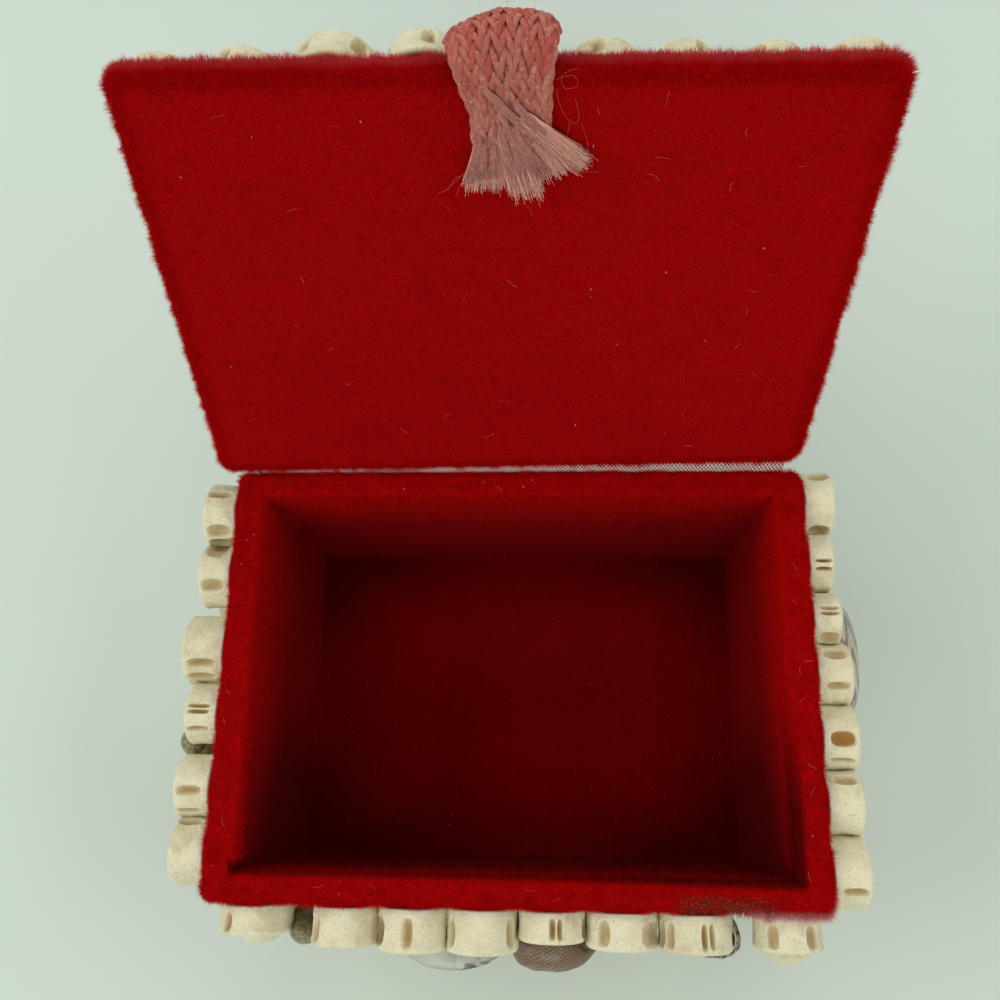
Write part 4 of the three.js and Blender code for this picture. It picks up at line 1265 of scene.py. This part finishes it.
def fibre_tree():
    """Long loose fibres that follow a flow stored on the surface."""
    g = Growth("Loose fibres", Count_per_area=("Float", 1e7), Width=("Float", 1e-4), Spread=("Float", 0.1))
    points = g.scattered(Density=g.given("Count_per_area"))
    line = g.add("GeometryNodeCurvePrimitiveLine", (0, 0, 0), (0, 0, 1))
    line = g.add("GeometryNodeResampleCurve", line, None, 6)
    ring = g.add("GeometryNodeCurvePrimitiveCircle", 3, named={"Radius": 1.0})
    fibre = g.add("GeometryNodeCurveToMesh", line, ring)
    up = g.add("ShaderNodeSeparateXYZ", g.add("GeometryNodeInputPosition"), out=2)
    bow = g.times(g.times(up, up), 12.0)
    fibre = g.add("GeometryNodeSetPosition", fibre, None, None, g.add("ShaderNodeCombineXYZ", bow, 0.0, 0.0))
    flow = g.attribute("flow", "FLOAT_VECTOR")
    apart = g.times(g.given("Spread"), g.vector("LENGTH", flow, out=1))
    way = g.vector("ADD", flow, g.scaled(g.any_way(), apart))
    long = g.times(g.vector("LENGTH", way, out=1), g.random(0.62, 0.78, 7))
    return g.end(g.planted(points, fibre, way, long, 0.6, 1.2))


def silk_finish(look, name, loose):
    """Dusty pink silk whose strands catch the light along their run, with painted glints and painted shade
    between its filaments.
    """
    m = Finish(name, Sheen_Weight=0.6 if loose else 0.2, Sheen_Tint=(1, 0.7, 0.6, 1), Specular_IOR_Level=0.45)
    tone = m.attribute("tone")
    if loose:
        return m.done(m.mix(tone, "fba68e", "ffd8c8"), 0.5)
    lit = m.mix(m.attribute("pale"), "cc5140", look.braid)
    lit = m.mix(m.times(tone, 0.4), lit, "eaa595")
    filaments = m.maths("MULTIPLY_ADD", m.wave(m.attribute("across"), 63.0), 0.5, 0.5)
    filaments = m.times(filaments, m.ramp(m.noise(2600, 3, 0.6), 0.3, 0.7))
    # painted shade down the gaps between the filaments
    colour = m.mix(m.times(filaments, 0.42), lit, look.braid_painted_shade)
    # painted glints: pale specks mixed into the colour
    painted_glints = m.ramp(m.noise(900, 1), 0.68, 0.72, 0, 0.55)
    colour = m.mix(m.times(painted_glints, 0.5), colour, "f2d8cf")
    return m.done(colour, 0.42, m.bump(filaments, 0.7, 0.0002))


# Loose hairs round the loop and a curled thread beside the band: (across, from
# hinge) points, and how far each lies off the lid, or off the loop if above 0
HAIRS = [
    ([(-2.5, 94.5), (-3.2, 98.5), (-2.2, 101.5), (-3.4, 104)], 3.0),
    ([(1.0, 94.8), (1.6, 99), (3.2, 100.8), (4.2, 104.5)], 2.2),
    ([(5.2, 94.4), (5.8, 97.8), (7.4, 101)], 2.6),
    ([(-1.0, 95), (0.8, 98), (2.6, 97.4)], 2.4),
    ([(-5.4, 73.6), (-7.6, 71.4), (-9.8, 69.2), (-11.4, 68.8)], -2.0),
    ([(-5.2, 72.4), (-7.4, 70.2), (-8.4, 67.8)], -1.8),
    ([(-5.8, 72.6), (-8.2, 71.6), (-9.6, 69.6)], -2.4),
    ([(8.6, 87.4), (11.6, 88.6), (12.6, 86.2), (9.8, 85.6), (9.4, 88.4), (12.0, 89.2)], -1.7),
    ([(8.8, 86.0), (9.2, 83.6), (10.4, 81.0), (12.3, 79.6), (12.6, 81.6), (11.8, 84.4)], -1.4),
    ([(11.0, 80.4), (10.6, 77.8), (9.8, 75.6), (10.0, 73.4)], -1.2),
    ([(13.0, 80.0), (13.8, 77.4), (14.2, 75.2)], -1.2),
    ([(12.0, 72.4), (14.6, 72.0), (16.0, 72.2)], -2.2),
    ([(14.8, 72.4), (14.9, 74.0), (14.7, 75.6)], -2.2),
]


def stray_mesh():
    """The loose hairs as one mesh."""
    parts = []
    for knots, lift in HAIRS:
        t, u, v = eased_line(knots, 60, 30)
        bow = lift + 0.5 * np.sin(np.linspace(0, 2.6 * np.pi, len(t))) * (1 if lift > 0 else -0.4)
        thick = 0.03 if lift > 0 else 0.045
        path = moved(np.column_stack([u, -v, bow]), LID_BED)
        parts.append((*tube(path, thick, thick, 5)[:3], {}))
    return gathered(parts, "stray")


# -------------------------------------------------------------- small shells
def filler_meshes():
    """Four small shells about one unit across, two valves and two coarse coils."""
    small = {"rows": 5, "per_rib": 2}
    tiny = {"mouth": 40, "body": 0.62, "aspect": 1.2, "per_turn": 9, "around": 7, "seed": 2}
    return [valve_mesh(1, 0.95, 0.34, 6, 70, 0.8, notch=0.12, **small),
            valve_mesh(1.05, 0.85, 0.28, 7, 58, 0.35, notch=0.14, **small),
            coil_mesh(0.95, 0.36, 0.36 * 0.8, turns=3.0, growth=2.1, **tiny),
            coil_mesh(1.5, 0.3, 0.3 * 0.8, turns=4.0, growth=1.6, canal=0.4, **tiny)]


def filler_tree():
    """Scatters small shells on beds, clear of the large ones."""
    g = Growth("Small shells", Spacing=("Float", 0.005), Size=("Float", 0.006), Clear=("Float", 0.002),
               Keep_off=("Object", None), Shells=("Collection", None))
    points = g.scattered("POISSON", Distance_Min=g.given("Spacing"), Density_Max=4e5)
    guard = g.add("GeometryNodeObjectInfo", named={"Object": g.given("Keep_off")}).node
    near = g.add("GeometryNodeProximity", guard.outputs["Geometry"]).node
    close = g.add("FunctionNodeCompare", near.outputs["Distance"], g.given("Clear"), operation="LESS_THAN")
    left = g.add("GeometryNodeDeleteGeometry", points.outputs["Points"], close, domain="POINT")
    kinds = g.add("GeometryNodeCollectionInfo", named={
        "Collection": g.given("Shells"), "Separate Children": True, "Reset Children": True})
    tilt, full_turn = 0.25, 6.28
    spin = g.random((-tilt, -tilt, 0), (tilt, tilt, full_turn), 5, "FLOAT_VECTOR")
    spin = g.add("FunctionNodeEulerToRotation", spin)
    spun = g.add("FunctionNodeRotateRotation", points.outputs["Rotation"], spin, rotation_space="LOCAL")
    size = g.times(g.given("Size"), g.random(0.62, 1.25, 7))
    return g.end(g.add("GeometryNodeInstanceOnPoints", left, None, kinds, True,
                       g.random(0, 3, 13, "INT"), spun, size))


def filler_finish(look):
    m = Finish("small_shells", Specular_IOR_Level=0.4)
    tone = m.attribute("tone")
    colour = m.mix(m.ramp(tone, 0.3, 0.6), look.cream, "c9b49a")
    colour = m.mix(m.ramp(tone, 0.7, 0.9, 0, 0.85), colour, "9a7657")
    colour = m.mix(m.ramp(m.noise(300, 4), 0.5, 0.7, 0, 0.6), colour, "8d7a66")
    return m.done(colour, 0.5, m.bump(m.noise(900, 3), 0.4, 0.0003))


PATCHES = {
    "front": (-60, 60, 5, 38), "right": (-42, 42, 5, 38), "left": (-42, 42, 5, 38),
    "back": (-60, 60, 5, 44), "lid": (-55, 55, 10, 69),
}


def patch_mesh(beds):
    """Flat rectangles on the beds, facing out."""
    points, quads = [], []
    for bed in beds:
        x0, x1, y0, y1 = PATCHES[bed]
        corners = np.array([(x0, y0, -0.1), (x1, y0, -0.1), (x1, y1, -0.1), (x0, y1, -0.1)], float)
        quads.append([len(points) + i for i in range(4)])
        points += list(moved(corners, BEDS[bed]))
    return mesh_from("patches", np.array(points), quads)


def keep_off_mesh(nodes):
    """The frame's own shells as one mesh, for small ones to keep clear of."""
    edit = bmesh.new()
    for node in nodes:
        edit.from_mesh(frame["nodes"][node].data)
    mesh = bpy.data.meshes.new("keep_off")
    edit.to_mesh(mesh)
    edit.free()
    return mesh


# --------------------------------------------------------------------- lint
def lint_mesh(body):
    """White specks and fine hairs caught in the pile."""
    on_lid = body == "lid"
    draw = np.random.default_rng(7 if on_lid else 8)
    parts = []
    for k in range(54 if on_lid else 70):
        if on_lid:
            u, v = draw.uniform(-60, 60), draw.uniform(6, 84)
            base = (u, -v, -0.75)
        elif draw.uniform() < 0.5:
            base = (draw.uniform(-54, 54), draw.uniform(-37, 37), FLOOR_Z + 0.8)
        else:
            side = draw.choice([-1, 1])
            if draw.uniform() < 0.5:
                base = (draw.uniform(-58, 58), side * (HALF_D - draw.uniform(1.5, 4.5)), BOX_H + 0.6)
            else:
                base = (side * (HALF_W - draw.uniform(1.5, 5)), draw.uniform(-40, 40), BOX_H + 0.6)
        # one in four is a speck, the rest are hairs
        long = draw.uniform(0.7, 2.6) if k % 4 else draw.uniform(0.2, 0.5)
        wide = draw.uniform(0.02, 0.035) if k % 4 else draw.uniform(0.1, 0.2)
        a = draw.uniform(0, 6.28)
        t = np.linspace(-0.5, 0.5, 9)
        bend = draw.uniform(-0.5, 0.5)
        path = np.array(base) + np.column_stack([
            long * (t * math.cos(a) - bend * t * t * math.sin(a)),
            long * (t * math.sin(a) + bend * t * t * math.cos(a)), 0.1 * np.cos(t * 5)])
        if on_lid:
            path = moved(path, LID_BED)
        parts.append((*tube(path, wide, wide * 0.6, 6)[:3], {"tone": draw.uniform()}))
    return gathered(parts, "lint")


def lint_finish():
    m = Finish("lint", Specular_IOR_Level=0.3)
    return m.done(m.mix(m.attribute("tone"), "e6a9a4", "c04040"), 0.8)


# -------------------------------------------------------------------- stage
TABLE_HALF = 2000.0  # half the table's width


def floor_finish():
    m = Finish("table", Specular_IOR_Level=0.3)
    soft = m.ramp(m.noise(3, 2), 0.3, 0.7)
    specks = m.ramp(m.cells(160), 0.02, 0.035, 1, 0)
    colour = m.mix(soft, "d5e0d6", "dbe5db")
    colour = m.mix(m.times(specks, 0.5), colour, "f4f7f2")
    return m.done(colour, 0.6)


def area_light(name, place, power):
    """A soft daylight lamp that faces the box."""
    lamp = bpy.data.lights.new(name, "AREA")
    lamp.shape, lamp.size, lamp.size_y = "RECTANGLE", 1.1, 0.7
    lamp.energy, lamp.color = power, (0.98, 1.0, 0.975)
    made = bpy.data.objects.new(name, lamp)
    made.location = place
    made.rotation_euler = (-Vector(place)).to_track_quat("-Z", "Y").to_euler()
    bpy.context.scene.collection.objects.link(made)


# ---------------------------------------------------------------- operators
class BuildStep(bpy.types.Operator):
    """Base of the build steps."""

    bl_options = {"REGISTER", "UNDO"}

    def execute(self, context):
        self.build(context.scene)
        return {"FINISHED"}


class SHELLBOX_OT_stage(BuildStep):
    """Pale table, soft daylight and the camera"""

    bl_idname = "shellbox.stage"
    bl_label = "Stage"

    def build(self, scene):
        corners = np.array([(-1, -1, 0), (1, -1, 0), (1, 1, 0), (-1, 1, 0)]) * TABLE_HALF
        piece("table", mesh_from("table", corners, [(0, 1, 2, 3)]), floor_finish())
        for name, place, power in (("left", (-1.0, 0.1, 0.85), 7.2), ("right", (1.0, 0, 0.85), 4.8),
                                   ("back", (0.1, 1.0, 0.85), 4.6), ("front", (-0.1, -1.0, 0.85), 6.0)):
            area_light(name, place, power)
        world = bpy.data.worlds.new("room")
        world.use_nodes = True
        back = world.node_tree.nodes["Background"]
        back.inputs["Color"].default_value = (0.92, 1.0, 0.95, 1)
        back.inputs["Strength"].default_value = 0.18
        scene.world = world
        lens = bpy.data.cameras.new("camera")
        lens.lens, lens.sensor_width = 34.2, 36.0
        lens.clip_start = 0.01
        camera = bpy.data.objects.new("camera", lens)
        turn = turned("Z", 0.775) @ turned("Y", 2.95) @ turned("X", 16.51)
        turn[:3, 3] = (0.0078, -0.0214, 0.2678)
        camera.matrix_world = Matrix(turn.tolist())
        scene.collection.objects.link(camera)
        scene.camera = camera
        scene.view_settings.view_transform = "Standard"


class SHELLBOX_OT_card(BuildStep):
    """Papered card of the box and the lid"""

    bl_idname = "shellbox.card"
    bl_label = "Card"

    def build(self, scene):
        for node in ("box_carcass", "lid_board"):
            card = frame["nodes"][node]
            finish = card_finish(scene.shellbox_trim, node + "_card")
            for holder in card.material_slots:
                holder.material = finish


def lined(scene, name, mesh, body, node):
    """Velvet on one body: its ground cloth, and the pile that stands on it."""
    look = scene.shellbox_velvet
    ground = piece(name, mesh, velvet_finish(look, name + "_cloth", False))
    outward(ground, weld=0.004)
    tufts = velvet_finish(look, name + "_tufts", True)
    tree = pile_tree()
    piles = [grown(name + "_pile", ground, tree, tufts, Density=look.edge_density * 1e6, Mask="pile",
                   Length=look.pile, Width=look.fibre, Seed=3)]
    if "field" in mesh.attributes:
        piles.append(grown(name + "_nap", ground, tree, tufts, Density=look.field_density * 1e6,
                           Mask="field", Length=look.pile * 0.5, Width=look.fibre, Seed=9, Lean=0.6))
    for each in (ground, *piles):
        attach(each, body)
    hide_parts(node)


class SHELLBOX_OT_velvet(BuildStep):
    """Crimson velvet lining and lid cover"""

    bl_idname = "shellbox.velvet"
    bl_label = "Velvet"

    def build(self, scene):
        lined(scene, "lining", lining_mesh(), "box", "velvet_lining")
        lined(scene, "lid_cover", lid_velvet_mesh(), "lid", "lid_velvet")


class SHELLBOX_OT_vertebrae(BuildStep):
    """Shark vertebrae round the rim and along the lid's edge"""

    bl_idname = "shellbox.vertebrae"
    bl_label = "Vertebrae"

    def build(self, scene):
        look = scene.shellbox_bone
        finish = bone_finish(look)
        nodes = [(f"vertebra_{bed}_{i + 1}", bed, pits)
                 for bed, rows in PITS.items() for i, pits in enumerate(rows)]
        for seed, (node, bed, pits) in enumerate(nodes):
            low, high = room(node, bed)
            radius = max(high[0] - low[0], high[1] - low[1]) / 2
            if node == "vertebra_front_1":
                # worn smaller than its neighbours, so the end below it shows
                radius, high = radius - 0.65, high - (1.3, 0, 1.1)
            foot = 0.0 if bed == "lid" else FOOT
            form = vertebra_mesh(radius, high[2] - low[2], foot, pits, look, seed + 1)
            middle = ((low[0] + high[0]) / 2, (low[1] + high[1]) / 2, low[2])
            self.place(node, bed, form, middle, finish)
        for seed, (side, aside, tall) in enumerate((("left", -1.0, 1.1), ("right", 1.4, 1.03))):
            low, high = room("vertebra_corner_" + side, "front")
            form = dome_mesh((high - low) * (1, 1, tall), 200 + seed)
            middle = ((low[0] + high[0]) / 2 + aside, (low[1] + high[1]) / 2, low[2])
            self.place("vertebra_corner_" + side, "front", form, middle, finish)

    @staticmethod
    def place(node, bed, form, middle, finish):
        mesh = formed(node, form, BEDS[bed], shift(*middle))
        made = piece(node.replace("vertebra", "bone"), mesh, finish)
        outward(made)
        dress(made, node, bed)


class SHELLBOX_OT_sea_shells(BuildStep):
    """Snail shells, cockles, scallops and the broken valve"""

    bl_idname = "shellbox.sea_shells"
    bl_label = "Sea shells"

    def build(self, scene):
        finishes = {kind: shell_finish(scene.shellbox_shells, kind) for kind in SLOTS}
        for seed, (node, (bed, kind, turn, mouth, colour)) in enumerate(COILS.items()):
            low, high = room(node, bed)
            size = high - low
            length, width = (size[1], size[0]) if abs(turn) == 90 else (size[0], size[1])
            points, *rest = coil_mesh(length, width / 2, size[2] - 0.475 * width, mouth,
                                      seed=60 + seed, **kind)
            # a coil fills the room its node takes, and a fuller one a little more
            least, most = points.min(0), points.max(0)
            points = (points - least) / (most - least) * (length, width, size[2])
            points = (points - (length / 2, width / 2, 0)) * FULLER.get(node, 1)
            place = shift(*((low + high) / 2)[:2], 0) @ turned("Z", turn)
            mesh = formed(node, (points, *rest), BEDS[bed], place)
            made = piece(node + "_form", mesh, finishes[colour])
            dress(made, node, bed)
        for seed, (node, (bed, kind, turn)) in enumerate(VALVES.items()):
            low, high = room(node, bed)
            form = valve_mesh(*(high - low), seed=80 + seed, **kind)
            place = shift(*((low + high) / 2)[:2], 0) @ turned("Z", turn)
            mesh = formed(node, form, BEDS[bed], place)
            made = piece(node + "_form", mesh, finishes["cream"])
            outward(made)
            dress(made, node, bed)
        made = piece("front_brown_valve_form", formed("lip", lip_mesh(), BEDS["front"]), lip_finish())
        outward(made)
        dress(made, "front_brown_valve", "front")


def lip_finish():
    """Dark brown inside, flecked outside, a pale line along its edge."""
    m = Finish("brown_valve", Specular_IOR_Level=0.5)
    outer = m.attribute("outer")
    fleck = m.ramp(m.noise(1100, 3), 0.5, 0.58)
    skin = m.mix(fleck, "a39787", "3b322c")
    line = m.times(m.ramp(outer, 0.36, 0.42), m.ramp(outer, 0.54, 0.48))
    inner = m.mix(m.ramp(outer, 0.5, 0.56), "3c2618", skin)
    return m.done(m.mix(line, inner, "d6ccba"), 0.4, m.bump(fleck, 0.3, 0.0002))


class SHELLBOX_OT_small_shells(BuildStep):
    """Small shells that fill the walls and the lid between the large ones"""

    bl_idname = "shellbox.small_shells"
    bl_label = "Small shells"

    def build(self, scene):
        look = scene.shellbox_shells
        finish = filler_finish(look)
        kinds = bpy.data.collections.new("small_shell_kinds")
        for i, (points, quads, triangles, _) in enumerate(filler_meshes()):
            shell = bpy.data.objects.new(f"kind_{i}", mesh_from("kind", points / MM, quads, triangles))
            kinds.objects.link(shell)
        tree = filler_tree()
        for body, beds in (("box", ("front", "right", "back", "left")), ("lid", ("lid",))):
            plain = {"box_carcass", "velvet_lining", "lid_board", "lid_velvet"}
            guard = bpy.data.objects.new("guard", keep_off_mesh(
                n for n, o in frame["nodes"].items() if o["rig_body"] == body and n not in plain))
            ground = bpy.data.objects.new("patches", patch_mesh(beds))
            for each in (guard, ground):
                scene.collection.objects.link(each)
            made = grown(f"{body}_small_shells", ground, tree, finish, Keep_off=guard, Shells=kinds,
                         Size=look.filler_size, Spacing=look.filler_size * 0.5,
                         Clear=look.filler_size * 0.16, Seed=5)
            for each in (guard, ground):
                bpy.data.objects.remove(each)
            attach(made, body)
        for shell in list(kinds.objects):
            bpy.data.objects.remove(shell)
        bpy.data.collections.remove(kinds)


class SHELLBOX_OT_hinge_tape(BuildStep):
    """Woven tape that joins the lid to the back wall"""

    bl_idname = "shellbox.hinge_tape"
    bl_label = "Hinge tape"

    def build(self, scene):
        mesh, length = tape_mesh()
        tape = piece("woven_hinge_tape", mesh, gauze_finish(scene.shellbox_trim))
        outward(tape)
        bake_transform(tape)
        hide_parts("hinge_tape")


class SHELLBOX_OT_pull_tab(BuildStep):
    """Braided silk pull tab with its frayed end"""

    bl_idname = "shellbox.pull_tab"
    bl_label = "Pull tab"

    def build(self, scene):
        look = scene.shellbox_trim
        band = piece("braided_tab", pull_tab_mesh(), silk_finish(look, "silk", False))
        loose = silk_finish(look, "loose_silk", True)
        roots = bpy.data.objects.new("roots", brush_roots())
        scene.collection.objects.link(roots)
        fray = grown("braided_tab_fray", roots, fibre_tree(), loose, Count_per_area=4.6e7, Width=3.6e-5,
                     Spread=0.09, Seed=2)
        bpy.data.objects.remove(roots)
        hairs = piece("braided_tab_hairs", stray_mesh(), Finish("thread").done("c0604f", 0.6))
        for each in (band, fray, hairs):
            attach(each, "lid")
        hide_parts("pull_tab")


class SHELLBOX_OT_lint(BuildStep):
    """Specks and hairs caught in the velvet"""

    bl_idname = "shellbox.lint"
    bl_label = "Lint"

    def build(self, scene):
        finish = lint_finish()
        for body in ("box", "lid"):
            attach(piece(f"{body}_lint", lint_mesh(body), finish), body)


class SHELLBOX_PT_panel(bpy.types.Panel):
    """Lists the build steps and their settings"""

    bl_idname = "SHELLBOX_PT_panel"
    bl_label = "Shell Box"
    bl_space_type = "VIEW_3D"
    bl_region_type = "UI"
    bl_category = "Shell Box"

    def draw(self, context):
        for step in STEPS:
            self.layout.operator(step.bl_idname)
        for name in SETTINGS:
            box = self.layout.box()
            group = getattr(context.scene, name)
            for key in group.__annotations__:
                box.prop(group, key)


SETTINGS = {
    "shellbox_velvet": ShellBoxVelvet, "shellbox_bone": ShellBoxBone,
    "shellbox_trim": ShellBoxTrim, "shellbox_shells": ShellBoxShells,
}
STEPS = (
    SHELLBOX_OT_stage, SHELLBOX_OT_card, SHELLBOX_OT_velvet, SHELLBOX_OT_vertebrae,
    SHELLBOX_OT_sea_shells, SHELLBOX_OT_small_shells, SHELLBOX_OT_hinge_tape, SHELLBOX_OT_pull_tab,
    SHELLBOX_OT_lint,
)


def register():
    for kind in (*SETTINGS.values(), *STEPS, SHELLBOX_PT_panel):
        bpy.utils.register_class(kind)
    for name, kind in SETTINGS.items():
        setattr(bpy.types.Scene, name, bpy.props.PointerProperty(type=kind))


def unregister():
    for name in SETTINGS:
        delattr(bpy.types.Scene, name)
    for kind in reversed((*SETTINGS.values(), *STEPS, SHELLBOX_PT_panel)):
        bpy.utils.unregister_class(kind)


def main():
    register()
    bpy.ops.shellbox.stage()
    bpy.ops.shellbox.card()
    bpy.ops.shellbox.velvet()
    bpy.ops.shellbox.vertebrae()
    bpy.ops.shellbox.sea_shells()
    bpy.ops.shellbox.small_shells()
    bpy.ops.shellbox.hinge_tape()
    bpy.ops.shellbox.pull_tab()
    bpy.ops.shellbox.lint()
    bpy.context.view_layer.update()


if __name__ == "__main__":
    main()
